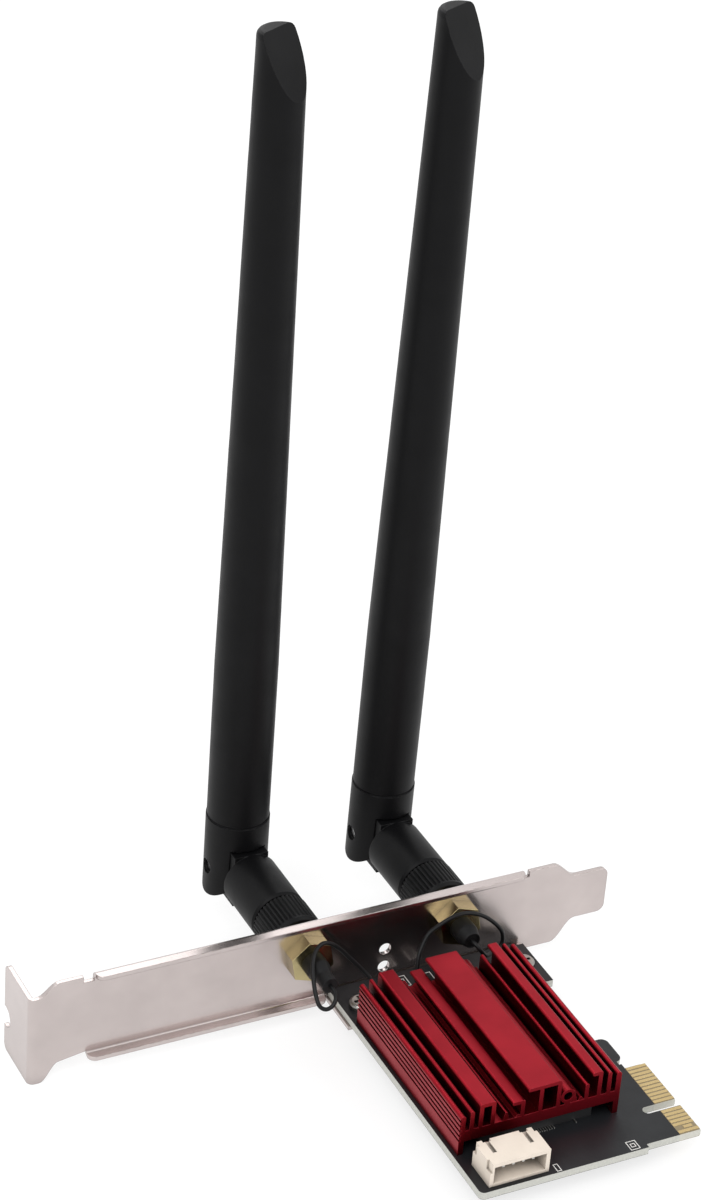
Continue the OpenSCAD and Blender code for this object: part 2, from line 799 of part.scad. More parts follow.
module sink_profile() {
    w = sink_width;
    difference() {
        union() {
            rect([0, sink_clear], [w, base_top]);
            rect([0, 0], [wall_thickness, left_wall_height - wall_thickness / 2]);
            translate([wall_thickness / 2, left_wall_height - wall_thickness / 2])
                circle(wall_thickness / 2);
            rect([w - wall_thickness, 0], [w, right_wall_height - wall_thickness / 2]);
            translate([w - wall_thickness / 2, right_wall_height - wall_thickness / 2])
                circle(wall_thickness / 2);
            for (f = thin_fins)
                fin(f[0] * w, f[1] * crest_height, fin_thickness);
            for (r = ridges)
                ridge(r[0] * w, r[1] * crest_height);
            for (t = flat_tops)
                flat_top(t[0] * w, t[1] * w, t[2] * crest_height, [for (l = t[3]) l * w]);
            flat_top(crest_start, crest_start + crest_width, crest_height,
                     [for (l = crest_legs) crest_start + l * crest_width]);
            translate([channel_x, channel_height]) circle(channel_bore / 2 + channel_wall);
            rect([channel_x - channel_wall, base_top - sink_base / 2],
                 [channel_x + channel_wall, channel_height - channel_bore / 2]);
        }
        translate([channel_x, channel_height]) circle(channel_bore / 2);
        for (i = [0 : groove_count - 1]) {
            h = left_wall_height - groove_first - i * groove_pitch;
            rect([-over, h - groove_width], [groove_depth, h]);
        }
    }
}

module heat_sink() {
    color("crimson")
    translate([sink_x, 0, board_top])
        along_y(sink_front, sink_back) sink_profile();
}

module thermal_pad() {
    inset = shield_margin + 2;
    color("lightblue")
    box([module_x + inset, module_front + shield_start + 1, shield_top],
        [module_x + module_width - inset, module_front + shield_start + shield_length - 1,
         board_top + sink_clear]);
}

module radio_module() {
    color("darkgreen")
    along_z(module_top - module_board, module_top)
        difference() {
            rect([module_x, module_front], [module_x + module_width, module_back]);
            translate([module_x + module_width / 2, module_back]) circle(module_notch);
        }
}

module radio_shield() {
    y0 = module_front + shield_start;
    color("silver")
    difference() {
        box([module_x + shield_margin, y0, module_top],
            [module_x + module_width - shield_margin, y0 + shield_length, shield_top]);
        box([module_x + shield_margin + bracket_sheet / 4, y0 + bracket_sheet / 4,
             module_top - over],
            [module_x + module_width - shield_margin - bracket_sheet / 4,
             y0 + shield_length - bracket_sheet / 4, shield_top - bracket_sheet / 4]);
    }
}

module module_socket() {
    slot_low = module_top - module_board - loose_clearance;
    slot_high = module_top + loose_clearance;
    color("black")
    difference() {
        box([module_x - socket_wall, socket_front, board_top],
            [module_x + module_width + socket_wall, socket_front + socket_depth,
             board_top + socket_height]);
        box([module_x - loose_clearance, module_front - loose_clearance, slot_low],
            [module_x + module_width + loose_clearance, socket_front + socket_depth + over,
             slot_high]);
        box([module_x - socket_wall - over, module_front + socket_grip, slot_low],
            [module_x + module_width + socket_wall + over, socket_front + socket_depth + over,
             board_top + socket_height + over]);
    }
}

module socket_tails() {
    x0 = module_x + (module_width - (tail_count - 1) * tail_pitch) / 2;
    color("gainsboro")
    for (i = [0 : tail_count - 1])
        if (i < tail_gap[0] || i > tail_gap[1])
            box([x0 + i * tail_pitch - tail_width / 2, socket_front - tail_length, board_top],
                [x0 + i * tail_pitch + tail_width / 2, socket_front, board_top + tail_height]);
}

module module_standoff() {
    color("gold")
    translate([module_x + module_width / 2, module_back, board_top])
        difference() {
            union() {
                cylinder(r = standoff_radius, h = module_height);
                cylinder(r = module_notch - running_clearance, h = module_height + module_board);
            }
            translate([0, 0, -over])
                cylinder(r = screw_thread, h = module_height + module_board + 2 * over);
        }
}

module module_screw() {
    color("silver")
    translate([module_x + module_width / 2, module_back, 0]) {
        translate([0, 0, board_top])
            cylinder(r = screw_thread, h = module_height + module_board);
        translate([0, 0, module_top])
            difference() {
                cylinder(r = module_head, h = module_head_height);
                cross_recess(module_head, module_head_height / 2, module_head_height);
            }
    }
}

// Cross-shaped recess in a screw head whose top is at the given height
module cross_recess(span, depth, top) {
    for (a = [0, 90])
        rotate(a)
            translate([-span / 2, -span / 8, top - depth])
                cube([span, span / 4, depth + over]);
}

module ear_screws() {
    color("silver")
    for (x = screw_xs)
        translate([x, screw_y, 0]) {
            translate([0, 0, screw_end])
                cylinder(r = board_screw / 2, h = board_top - screw_end);
            translate([0, 0, board_top])
                difference() {
                    pan_head(screw_head / 2, screw_head_height);
                    cross_recess(cross_span, cross_depth, screw_head_height);
                }
        }
}

// Screw head with a rounded upper edge
module pan_head(radius, height) {
    round = height / 2;
    rotate_extrude()
        union() {
            square([radius, height - round]);
            square([radius - round, height]);
            translate([radius - round, height - round])
                intersection() {
                    circle(round);
                    square(round);
                }
        }
}

module header_housing() {
    x1 = header_x + header_width;
    top = board_top + header_height;
    shoulder = board_top + shoulder_share * header_height;
    color("linen")
    difference() {
        box([header_x, header_front, board_top], [x1, header_back, top]);
        box([header_x + header_wall, header_front - over, board_top + header_floor],
            [x1 - header_wall, header_back - 2 * header_wall, top - header_wall]);
        for (x = [header_x - over, x1 - latch_step])
            box([x, header_back - back_notch, shoulder],
                [x + latch_step + over, header_back + over, top + over]);
        for (share = top_slots) {
            x = header_x + share * header_width;
            box([x - top_slot_width / 2, header_back - top_slot_length, top - top_slot_depth],
                [x + top_slot_width / 2, header_back + over, top + over]);
            box([x - top_slot_width, header_back - back_notch / 2, top - top_slot_depth],
                [x + top_slot_width, header_back + over, top + over]);
        }
        box([header_x - over, header_front - over, shoulder],
            [header_x + header_wall / 2, header_front + mouth_step, top + over]);
        for (i = [0 : header_ways - 1])
            box([pin_x0 + i * header_pitch - pin_width / 2, header_back - 3 * header_wall,
                 pin_z - pin_width / 2],
                [pin_x0 + i * header_pitch + pin_width / 2, header_back + over,
                 pin_z + pin_width / 2]);
    }
}

module header_pins() {
    color("silver")
    for (i = [0 : header_ways - 1])
        along_x(pin_x0 + i * header_pitch - pin_width / 2,
                pin_x0 + i * header_pitch + pin_width / 2) {
            rect([header_front + header_wall, pin_z - pin_width / 2],
                 [pin_fall_y + pin_width / 2, pin_z + pin_width / 2]);
            rect([pin_fall_y - pin_width / 2, pin_tail],
                 [pin_fall_y + pin_width / 2, pin_z + pin_width / 2]);
        }
}

module antenna_jacks() {
    color("gold")
    at_jacks()
        difference() {
            union() {
                rod_y(thread_radius, inner_y, jack_front);
                along_y(hex_back, inner_y)
                    rotate(hex_turn) circle(hex_radius, $fn = 6);
                rod_y(crimp_radius, crimp_back, hex_back);
            }
            rod_y(jack_bore, jack_front - jack_bore_depth, jack_front + over);
            rod_y(lead_radius, crimp_back - over, hex_back);
        }
}

module jack_insulators() {
    bottom = jack_front - jack_bore_depth;
    color("white")
    at_jacks()
        ring_y(jack_bore, contact_radius, bottom, bottom + insulator_depth - jack_bore_depth / 4);
}

module jack_contacts() {
    bottom = jack_front - jack_bore_depth;
    color("gold")
    at_jacks()
        rod_y(contact_radius, bottom, bottom + contact_length);
}

module jack_washers() {
    color("gold")
    at_jacks()
        ring_y(washer_radius, thread_radius, outer_y, nut_back);
}

module jack_nuts() {
    color("gold")
    at_jacks()
        along_y(nut_back, nut_front)
            difference() {
                rotate(30) circle(nut_radius, $fn = 6);
                circle(thread_radius);
            }
}

module sleeve(x, end) {
    taper_start = crimp_back - sleeve_shoulder + crimp_length;
    translate([x, 0, jack_height])
        rotate([90, 0, 0])
            difference() {
                rotate_extrude()
                    polygon([[0, -hex_back], [sleeve_diameter / 2, -hex_back],
                             [sleeve_diameter / 2, -taper_start],
                             [sleeve_end / 2, -taper_start + sleeve_taper],
                             [sleeve_end / 2, -end], [0, -end]]);
                translate([0, 0, -hex_back - over])
                    cylinder(r = crimp_radius, h = crimp_length + over);
                translate([0, 0, -hex_back])
                    cylinder(r = sleeve_bore, h = hex_back - end + over);
            }
}

module left_sleeve() {
    color("black") sleeve(jack_xs[0], sleeve_ends[0]);
}

module right_sleeve() {
    color("black") sleeve(jack_xs[1], sleeve_ends[1]);
}

// A lead starts at the crimp, follows its route and ends in its plug
function lead_route(side, route) =
    concat([[jack_xs[side], crimp_back, jack_height],
            [jack_xs[side], (crimp_back + sleeve_ends[side]) / 2, jack_height],
            [jack_xs[side], sleeve_ends[side], jack_height]],
           route,
           [[plug_xs[side], plug_y + plug_radius, module_top + lead_drop]]);

module left_lead() {
    color("black") tube(lead_route(0, left_route), lead_radius, lead_sides);
}

module right_lead() {
    color("black") tube(lead_route(1, right_route), lead_radius, lead_sides);
}

module lead_plugs() {
    color("gold")
    for (x = plug_xs)
        translate([x, plug_y, module_top])
            difference() {
                union() {
                    cylinder(r = plug_radius, h = plug_height);
                    translate([-plug_radius, 0, 0])
                        cube([2 * plug_radius, plug_radius, plug_height]);
                }
                translate([0, 0, -over])
                    cylinder(r = plug_radius / 3, h = plug_height / 2 + over);
            }
}

module knurl_profile() {
    difference() {
        circle(knurl_radius);
        for (i = [0 : knurl_count - 1])
            rotate(360 * i / knurl_count)
                translate([knurl_radius + knurl_depth / 4, 0])
                    rotate(45)
                        square(1.6 * knurl_depth, center = true);
    }
}

module coupling_nut(side) {
    antenna_frame(side)
        difference() {
            union() {
                rod_y(knurl_radius, knurl_front + knurl_chamfer, knurl_front + knurl_lip);
                along_y(knurl_front + knurl_lip, knurl_back - knurl_chamfer) knurl_profile();
                for (s = [0, 1])
                    translate([0, s > 0 ? knurl_back - knurl_chamfer
                                        : knurl_front + knurl_chamfer, 0])
                        rotate([s > 0 ? -90 : 90, 0, 0])
                            cylinder(r1 = knurl_radius - s * knurl_depth,
                                     r2 = knurl_radius - s * knurl_depth - knurl_chamfer,
                                     h = knurl_chamfer);
            }
            rod_y(nut_pocket, knurl_front - over, nut_pocket_end);
            rod_y(coupling_bore, knurl_front - over, lip_front);
            rod_y(neck_bore, knurl_front - over, knurl_back + over);
        }
}

module left_coupling_nut() {
    color("darkslategray") coupling_nut(-1);
}

module right_coupling_nut() {
    color("darkslategray") coupling_nut(1);
}

// Metal end of the antenna: a shoulder that the coupling nut pulls on, and a neck
module ferrule(side) {
    antenna_frame(side)
        difference() {
            union() {
                rod_y(shoulder_radius, ferrule_front, lip_front - loose_clearance);
                rod_y(neck_radius, ferrule_front, ferrule_back);
            }
            rod_y(socket_pin_outer, ferrule_front - over, ferrule_back + over);
        }
}

module left_ferrule() {
    color("gold") ferrule(-1);
}

module right_ferrule() {
    color("gold") ferrule(1);
}

module socket_pin(side) {
    antenna_frame(side)
        difference() {
            rod_y(socket_pin_outer, socket_pin_front, ferrule_back);
            rod_y(socket_pin_inner, socket_pin_front - over, jack_front);
        }
}

module left_socket_pin() {
    color("goldenrod") socket_pin(-1);
}

module right_socket_pin() {
    color("goldenrod") socket_pin(1);
}

module antenna_base(side) {
    antenna_frame(side)
        difference() {
            union() {
                rod_y(base_radius, base_back + base_round, base_front - base_round);
                translate([0, base_back + base_round, 0])
                    rotate([90, 0, 0])
                        cylinder(r1 = base_radius, r2 = base_radius - base_round / 2,
                                 h = base_round);
                translate([0, base_front - base_round, 0])
                    rotate([-90, 0, 0])
                        cylinder(r1 = base_radius, r2 = base_radius - base_round,
                                 h = base_round);
                box([-hinge_tongue / 2, base_front - base_round, -tongue_radius],
                    [hinge_tongue / 2, hinge_reach, tongue_radius]);
                along_x(-hinge_tongue / 2, hinge_tongue / 2)
                    translate([hinge_reach, 0]) circle(tongue_radius);
            }
            rod_y(neck_radius, base_back - over, ferrule_back);
            along_x(-hinge_tongue, hinge_tongue)
                translate([hinge_reach, 0]) circle(pin_radius + running_clearance);
        }
}

module left_antenna_base() {
    color("dimgray") antenna_base(-1);
}

module right_antenna_base() {
    color("dimgray") antenna_base(1);
}

module hinge_pin_at(side) {
    antenna_frame(side)
        along_x(-pin_half, pin_half)
            translate([hinge_reach, 0]) circle(pin_radius);
}

module left_hinge_pin() {
    color("silver") hinge_pin_at(-1);
}

module right_hinge_pin() {
    color("silver") hinge_pin_at(1);
}

module hinge_fork(side) {
    antenna_frame(side)
        difference() {
            union() {
                translate([0, hinge_reach, 0]) {
                    cylinder(r = fork_radius, h = seam_height - seam_width);
                    cylinder(r = fork_radius - seam_groove, h = seam_height);
                    cylinder(r = whip_radius(seam_height + plug_in_length) - whip_wall
                                 - running_clearance,
                             h = seam_height + plug_in_length);
                }
                intersection() {
                    translate([0, hinge_reach, -ear_radius])
                        cylinder(r = fork_radius, h = ear_radius);
                    along_x(-fork_radius, fork_radius)
                        translate([hinge_reach, 0]) circle(ear_radius);
                }
            }
            box([-fork_slot, hinge_reach - fork_radius - over, -ear_radius - over],
                [fork_slot, hinge_reach + fork_radius + over, fork_roof]);
            along_x(-fork_radius - over, fork_radius + over)
                translate([hinge_reach, 0]) circle(pin_radius);
            for (s = [-1, 1])
                along_x(s > 0 ? fork_radius - pin_recess_depth : -fork_radius - over,
                        s > 0 ? fork_radius + over : -fork_radius + pin_recess_depth)
                    translate([hinge_reach, 0]) circle(pin_recess);
            translate([0, hinge_reach, fork_roof])
                cylinder(r = radiator_radius, h = seam_height + plug_in_length);
        }
}

module left_hinge_fork() {
    color("dimgray") hinge_fork(-1);
}

module right_hinge_fork() {
    color("dimgray") hinge_fork(1);
}

// Outer radius of a whip at a height above the hinge pin
function whip_radius(h) =
    let (s = max(0, (h - taper_start) / (whip_height - taper_start)))
        (whip_body - (whip_body - whip_tip) * s) / 2;

// Half section of a whip, moved inwards by inset, from its seam to its round tip
function whip_section(inset, low, round) =
    let (top = whip_height - inset,
         rim = top - round)
        concat([[0, low]],
               [for (i = [0 : whip_steps])
                   let (h = low + (rim - low) * i / whip_steps)
                       [whip_radius(h) - inset, h]],
               [for (i = [1 : tip_steps])
                   let (a = 90 * i / tip_steps)
                       [whip_radius(rim) - inset - round * (1 - cos(a)), rim + round * sin(a)]],
               [[0, top]]);

// Everything beyond the slanted facet of the tip
module facet_cutter(inset) {
    low = whip_height - facet_drop;
    r = whip_radius(low);
    run = r + facet_back * whip_radius(whip_height);
    slope = atan2(facet_drop, run);
    rotate(facet_turn) translate([0, -r, low])
        rotate([slope, 0, 0])
            translate([-whip_foot, -whip_foot, -inset])
                cube([2 * whip_foot, 4 * whip_foot, 2 * whip_foot]);
}

module whip_form(inset, low, round) {
    difference() {
        rotate_extrude()
            polygon(whip_section(inset, low, round));
        facet_cutter(inset);
    }
}

module whip(side) {
    antenna_frame(side)
        translate([0, hinge_reach, 0])
            difference() {
                whip_form(0, seam_height, tip_round);
                translate([0, 0, -over])
                    cylinder(r = whip_radius(seam_height + plug_in_length) - whip_wall,
                             h = seam_height + plug_in_length + over);
                whip_form(whip_wall, seam_height + plug_in_length, tip_round / 2);
            }
}

module left_whip() {
    color("black") whip(-1);
}

module right_whip() {
    color("black") whip(1);
}

// Wire and sleeve of the aerial inside a whip
module radiator(side) {
    antenna_frame(side)
        translate([0, hinge_reach, 0]) {
            translate([0, 0, fork_roof + loose_clearance])
                cylinder(r = radiator_radius, h = radiator_top - fork_roof);
            translate([0, 0, radiator_sleeve_start])
                difference() {
                    cylinder(r = radiator_sleeve, h = radiator_sleeve_length);
                    translate([0, 0, radiator_wall])
                        cylinder(r = radiator_sleeve - radiator_wall,
                                 h = radiator_sleeve_length);
                }
        }
}

module left_radiator() {
    color("gold") radiator(-1);
}

module right_radiator() {
    color("gold") radiator(1);
}

bracket();
circuit_board();
edge_contacts();
heat_sink();
thermal_pad();
radio_module();
radio_shield();
module_socket();
socket_tails();
module_standoff();
module_screw();
ear_screws();
header_housing();
header_pins();
antenna_jacks();
jack_insulators();
jack_contacts();
jack_washers();
jack_nuts();
left_sleeve();
right_sleeve();
left_lead();
right_lead();
lead_plugs();
left_coupling_nut();
right_coupling_nut();
left_ferrule();
right_ferrule();
left_socket_pin();
right_socket_pin();
left_antenna_base();
right_antenna_base();
left_hinge_pin();
right_hinge_pin();
left_hinge_fork();
right_hinge_fork();
left_whip();
right_whip();
left_radiator();
right_radiator();
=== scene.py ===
"""Looks of a wireless network card with a finned heat sink and two hinged antennas.

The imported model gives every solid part. This script gives each material slot a procedural
finish, draws the two thin leads as smooth cords, adds the printed marks, solder and tracks
of the board, and sets the camera, the light and the floor of the photograph.
All lengths are in metres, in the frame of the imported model.
"""
import json
import logging
import math
from dataclasses import dataclass, field
from enum import Enum
import bpy
from mathutils import Matrix, Vector


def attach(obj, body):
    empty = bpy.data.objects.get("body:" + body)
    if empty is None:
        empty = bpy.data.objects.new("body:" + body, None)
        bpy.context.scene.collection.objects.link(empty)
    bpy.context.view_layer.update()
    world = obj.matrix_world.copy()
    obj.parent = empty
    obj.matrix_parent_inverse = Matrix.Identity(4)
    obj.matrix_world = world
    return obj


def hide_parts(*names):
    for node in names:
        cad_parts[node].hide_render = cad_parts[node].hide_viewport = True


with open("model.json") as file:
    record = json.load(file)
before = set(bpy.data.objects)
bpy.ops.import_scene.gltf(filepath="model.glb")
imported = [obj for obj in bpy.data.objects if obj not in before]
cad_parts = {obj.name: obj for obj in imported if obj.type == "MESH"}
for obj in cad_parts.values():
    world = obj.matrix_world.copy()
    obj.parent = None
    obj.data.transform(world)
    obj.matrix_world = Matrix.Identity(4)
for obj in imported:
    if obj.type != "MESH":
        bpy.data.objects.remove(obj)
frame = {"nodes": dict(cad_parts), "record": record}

Point = tuple[float, float, float]
Colour = tuple[float, float, float]
Socket = bpy.types.NodeSocket

MM = 0.001
BLACK = (0.0, 0.0, 0.0, 1.0)
WHITE = (1.0, 1.0, 1.0, 1.0)
TRACE_SAMPLES = 6
PATCH_MIDDLE = 0.5
# Each range is stretched to run from nought to one.
TONE_RANGE = (0.32, 0.68)
EDGE_RANGE = (0.985, 0.80)
WEAR_AND_LIGHT_RANGE = (0.38, 0.60)
PAINTED_SHADE_RANGE = (0.85, 0.15)
WEAVE_SCALE = 2600.0
WEAVE_FLOOR = 0.65
COAT_ROUGHNESS = 0.15
# The mix node's colour sockets go by number, because their names repeat.
MIX_FIRST, MIX_SECOND, MIX_RESULT = 6, 7, 2
SPAN = "span"
log = logging.getLogger("wireless_card")


class Body(Enum):
    """The moving bodies of the model that a new piece can ride on."""

    CARD = "card"


class Slot(Enum):
    """The material slots of the model."""

    BRACKET_STEEL = "bracket_steel"
    BOARD_BLACK = "board_black"
    CONTACT_GOLD = "contact_gold"
    ANODISED_RED = "anodised_red"
    PAD_GREY = "pad_grey"
    MODULE_GREEN = "module_green"
    SHIELD_STEEL = "shield_steel"
    SOCKET_BLACK = "socket_black"
    TIN = "tin"
    JACK_BRASS = "jack_brass"
    SCREW_STEEL = "screw_steel"
    HEADER_IVORY = "header_ivory"
    PTFE_WHITE = "ptfe_white"
    SLEEVE_BLACK = "sleeve_black"
    LEAD_BLACK = "lead_black"
    KNURL_BLACK = "knurl_black"
    ANTENNA_BLACK = "antenna_black"
    PIN_STEEL = "pin_steel"


def shown(name: str, data: bpy.types.ID) -> bpy.types.Object:
    """Makes an object and puts it in the scene.

    Args:
        name: The object's name.
        data: Its mesh, curve, lamp or camera.

    Returns:
        The new object.
    """
    item = bpy.data.objects.new(name, data)
    bpy.context.scene.collection.objects.link(item)
    return item


# ---- node trees


def add_node(tree: bpy.types.NodeTree, kind: str, **settings: object) -> bpy.types.Node:
    """Adds a node to a tree.

    Args:
        tree: The tree that gets the node.
        kind: The node's full type.
        settings: Properties to set on it.

    Returns:
        The new node.
    """
    node = tree.nodes.new(kind)
    for key, value in settings.items():
        setattr(node, key, value)
    return node


class TreePlan:
    """A node tree under construction, with named inputs and outputs."""

    def __init__(self, name: str, kind: str) -> None:
        """Makes an empty tree.

        Args:
            name: The tree's name.
            kind: The tree's type.
        """
        self.tree = bpy.data.node_groups.new(name, kind)
        self.start = self.tree.nodes.new("NodeGroupInput")
        self.end = self.tree.nodes.new("NodeGroupOutput")

    def takes(self, name: str, kind: str, default: object = None) -> Socket:
        """Adds a named input.

        Args:
            name: The input's name.
            kind: The socket's type, such as Float.
            default: Its value when nothing is linked to it.

        Returns:
            The socket that carries the input inside the tree.
        """
        socket = self.tree.interface.new_socket(
            name, in_out="INPUT", socket_type="NodeSocket" + kind
        )
        if default is not None:
            socket.default_value = default
        return self.start.outputs[name]

    def gives(self, name: str, kind: str, source: Socket) -> None:
        """Adds a named output.

        Args:
            name: The output's name.
            kind: The socket's type, such as Color.
            source: What it gives.
        """
        self.tree.interface.new_socket(
            name, in_out="OUTPUT", socket_type="NodeSocket" + kind
        )
        self.tree.links.new(source, self.end.inputs[name])

    def node(self, kind: str, **settings: object) -> bpy.types.Node:
        """Adds a node.

        Args:
            kind: The node's full type.
            settings: Properties to set on it.

        Returns:
            The new node.
        """
        return add_node(self.tree, kind, **settings)

    def feed(self, target: Socket, source: object) -> None:
        """Gives an input its source or its fixed value.

        Args:
            target: The input socket.
            source: An output socket, or a value.
        """
        if isinstance(source, Socket):
            self.tree.links.new(source, target)
        else:
            target.default_value = source


class ShaderGroup(TreePlan):
    """A shader node group, with helpers for the nodes that repeat."""

    def __init__(self, name: str) -> None:
        """Makes an empty group.

        Args:
            name: The group's name.
        """
        super().__init__(name, "ShaderNodeTree")

    def noise(
        self, vector: Socket, scale: object, detail: float = 2.0, rough: float = 0.5
    ) -> Socket:
        """Adds a noise.

        Args:
            vector: Where it is looked up.
            scale: Its scale.
            detail: Its number of finer layers.
            rough: How strong the finer layers are.

        Returns:
            The noise, from nought to one.
        """
        node = self.node("ShaderNodeTexNoise", noise_dimensions="3D")
        node.inputs["Detail"].default_value = detail
        node.inputs["Roughness"].default_value = rough
        self.feed(node.inputs["Vector"], vector)
        self.feed(node.inputs["Scale"], scale)
        return node.outputs["Fac"]

    def ramp(
        self, value: Socket, ends: tuple[float, float], floor: float = 0.0
    ) -> Socket:
        """Stretches a value between two ends.

        Args:
            value: The value.
            ends: The values that give the floor and one.
            floor: The least result.

        Returns:
            The result, from the floor to one.
        """
        node = self.node("ShaderNodeMapRange", clamp=True)
        node.inputs["From Min"].default_value = ends[0]
        node.inputs["From Max"].default_value = ends[1]
        node.inputs["To Min"].default_value = floor
        self.feed(node.inputs["Value"], value)
        return node.outputs["Result"]

    def math(self, operation: str, *values: object, clamp: bool = False) -> Socket:
        """Adds a sum.

        Args:
            operation: What it does.
            values: The sockets or numbers that it works on.
            clamp: Whether the result stays from nought to one.

        Returns:
            The result.
        """
        node = self.node("ShaderNodeMath", operation=operation, use_clamp=clamp)
        for target, value in zip(node.inputs, values):
            self.feed(target, value)
        return node.outputs[0]

    def blend(self, share: Socket, first: object, second: object) -> Socket:
        """Mixes two colours.

        Args:
            share: How much of the second colour shows.
            first: The first colour.
            second: The second colour.

        Returns:
            The mixed colour.
        """
        node = self.node("ShaderNodeMix", data_type="RGBA")
        self.feed(node.inputs["Factor"], share)
        self.feed(node.inputs[MIX_FIRST], first)
        self.feed(node.inputs[MIX_SECOND], second)
        return node.outputs[MIX_RESULT]


def surface_tone_group() -> bpy.types.NodeTree:
    """Makes the group that breaks a flat colour and roughness up with soft noise.

    Returns:
        The finished group.
    """
    group = ShaderGroup("surface_tone")
    vector = group.takes("Vector", "Vector")
    colour = group.takes("Color", "Color")
    shade = group.takes("Shade", "Color")
    scale = group.takes("Scale", "Float", 300.0)
    roughness = group.takes("Roughness", "Float", 0.5)
    spread = group.takes("Spread", "Float", 0.05)
    patch = group.ramp(group.noise(vector, scale, detail=5.0, rough=0.6), TONE_RANGE)
    centred = group.math("SUBTRACT", patch, PATCH_MIDDLE)
    rough = group.math("MULTIPLY_ADD", centred, spread, roughness, clamp=True)
    group.gives("Color", "Color", group.blend(patch, colour, shade))
    group.gives("Roughness", "Float", rough)
    return group.tree


def edge_wear_and_light_group() -> bpy.types.NodeTree:
    """Makes the group that finds outer edges, rounds them and paints a colour on patches of
    them: scuffs together with a painted highlight where the colour is lighter and painted
    shade where it is darker.

    Returns:
        The finished group.
    """
    group = ShaderGroup("edge_wear_and_light")
    vector = group.takes("Vector", "Vector")
    colour = group.takes("Color", "Color")
    worn_and_lit = group.takes("Worn And Lit", "Color")
    amount = group.takes("Amount", "Float", 0.5)
    radius = group.takes("Radius", "Float", 0.0002)
    scale = group.takes("Scale", "Float", 900.0)
    bevel = group.node("ShaderNodeBevel", samples=TRACE_SAMPLES)
    group.feed(bevel.inputs["Radius"], radius)
    rounded = bevel.outputs["Normal"]
    flat = group.node("ShaderNodeNewGeometry").outputs["Normal"]
    turn = group.node("ShaderNodeVectorMath", operation="DOT_PRODUCT")
    group.feed(turn.inputs[0], rounded)
    group.feed(turn.inputs[1], flat)
    edge = group.ramp(turn.outputs["Value"], EDGE_RANGE)
    patch = group.ramp(group.noise(vector, scale, detail=4.0), WEAR_AND_LIGHT_RANGE)
    # Mask for scuffs and painted edge light.
    rubbed_and_lit = group.math("MULTIPLY", edge, patch)
    share = group.math("MULTIPLY", rubbed_and_lit, amount, clamp=True)
    group.gives("Color", "Color", group.blend(share, colour, worn_and_lit))
    group.gives("Normal", "Vector", rounded)
    return group.tree


def crease_shade_group() -> bpy.types.NodeTree:
    """Makes the group that paints shade into the colour, darker down in slots, gaps and
    corners.

    Returns:
        The finished group.
    """
    group = ShaderGroup("crease_shade")
    colour = group.takes("Color", "Color")
    amount = group.takes("Amount", "Float", 0.5)
    distance = group.takes("Distance", "Float", 0.0035)
    closeness = group.node("ShaderNodeAmbientOcclusion", samples=TRACE_SAMPLES)
    group.feed(closeness.inputs["Distance"], distance)
    # Painted shade: deep occlusion darkens the colour towards black.
    depth = group.ramp(closeness.outputs["AO"], PAINTED_SHADE_RANGE)
    share = group.math("MULTIPLY", depth, amount, clamp=True)
    group.gives("Color", "Color", group.blend(share, colour, BLACK))
    return group.tree


def grain_group() -> bpy.types.NodeTree:
    """Makes the group that gives a fine height: brushed, drawn or speckled by its stretch.

    Returns:
        The finished group.
    """
    group = ShaderGroup("grain")
    vector = group.takes("Vector", "Vector")
    stretch = group.takes("Stretch", "Vector", (1.0, 1.0, 1.0))
    scale = group.takes("Scale", "Float", 4000.0)
    along = group.node("ShaderNodeVectorMath", operation="MULTIPLY")
    group.feed(along.inputs[0], vector)
    group.feed(along.inputs[1], stretch)
    height = group.noise(along.outputs["Vector"], scale, detail=3.0)
    group.gives("Height", "Float", height)
    return group.tree


def layer_band_group() -> bpy.types.NodeTree:
    """Makes the group that shows a laminate's bare core: on cut edges, and off the mask.

    Returns:
        The finished group.
    """
    group = ShaderGroup("layer_band")
    vector = group.takes("Vector", "Vector")
    colour = group.takes("Color", "Color")
    core = group.takes("Core", "Color")
    middle = group.takes("Middle", "Float")
    half = group.takes("Half", "Float")
    bare = group.takes("Bare", "Color")
    bare_from = group.takes("Bare From", "Float")
    bare_below = group.takes("Bare Below", "Float")
    split = group.node("ShaderNodeSeparateXYZ")
    group.feed(split.inputs[0], vector)
    distance = group.math("ABSOLUTE", group.math("SUBTRACT", split.outputs["Z"], middle))
    inside = group.math("LESS_THAN", distance, half)
    fibre = group.ramp(group.noise(vector, WEAVE_SCALE), (0.0, 1.0), WEAVE_FLOOR)
    beyond = group.math("GREATER_THAN", split.outputs["X"], bare_from)
    below = group.math("LESS_THAN", split.outputs["Y"], bare_below)
    unmasked = group.blend(group.math("MULTIPLY", beyond, below), colour, bare)
    share = group.math("MULTIPLY", inside, fibre)
    group.gives("Color", "Color", group.blend(share, unmasked, core))
    return group.tree


# ---- finishes


@dataclass(frozen=True)
class Tone:
    """Soft variation of colour and roughness.

    Attributes:
        shade: How bright the darker patches are, as a share of the colour.
        scale: Noise scale, in waves a metre.
        spread: How far the roughness moves from patch to patch.
    """

    shade: float = 0.85
    scale: float = 180.0
    spread: float = 0.08


@dataclass(frozen=True)
class EdgeWearAndLight:
    """Rounded outer edges whose painted colour is partly scuffs and partly painted light: a
    highlight on most parts, shade on the bracket.

    Attributes:
        colour: The colour painted on patches of the edges: scuffs together with a painted
            highlight where it is lighter and painted shade where it is darker.
        amount: How strongly it shows.
        radius: The rounding's radius.
    """

    colour: Colour
    amount: float = 0.5
    radius: float = 0.00015


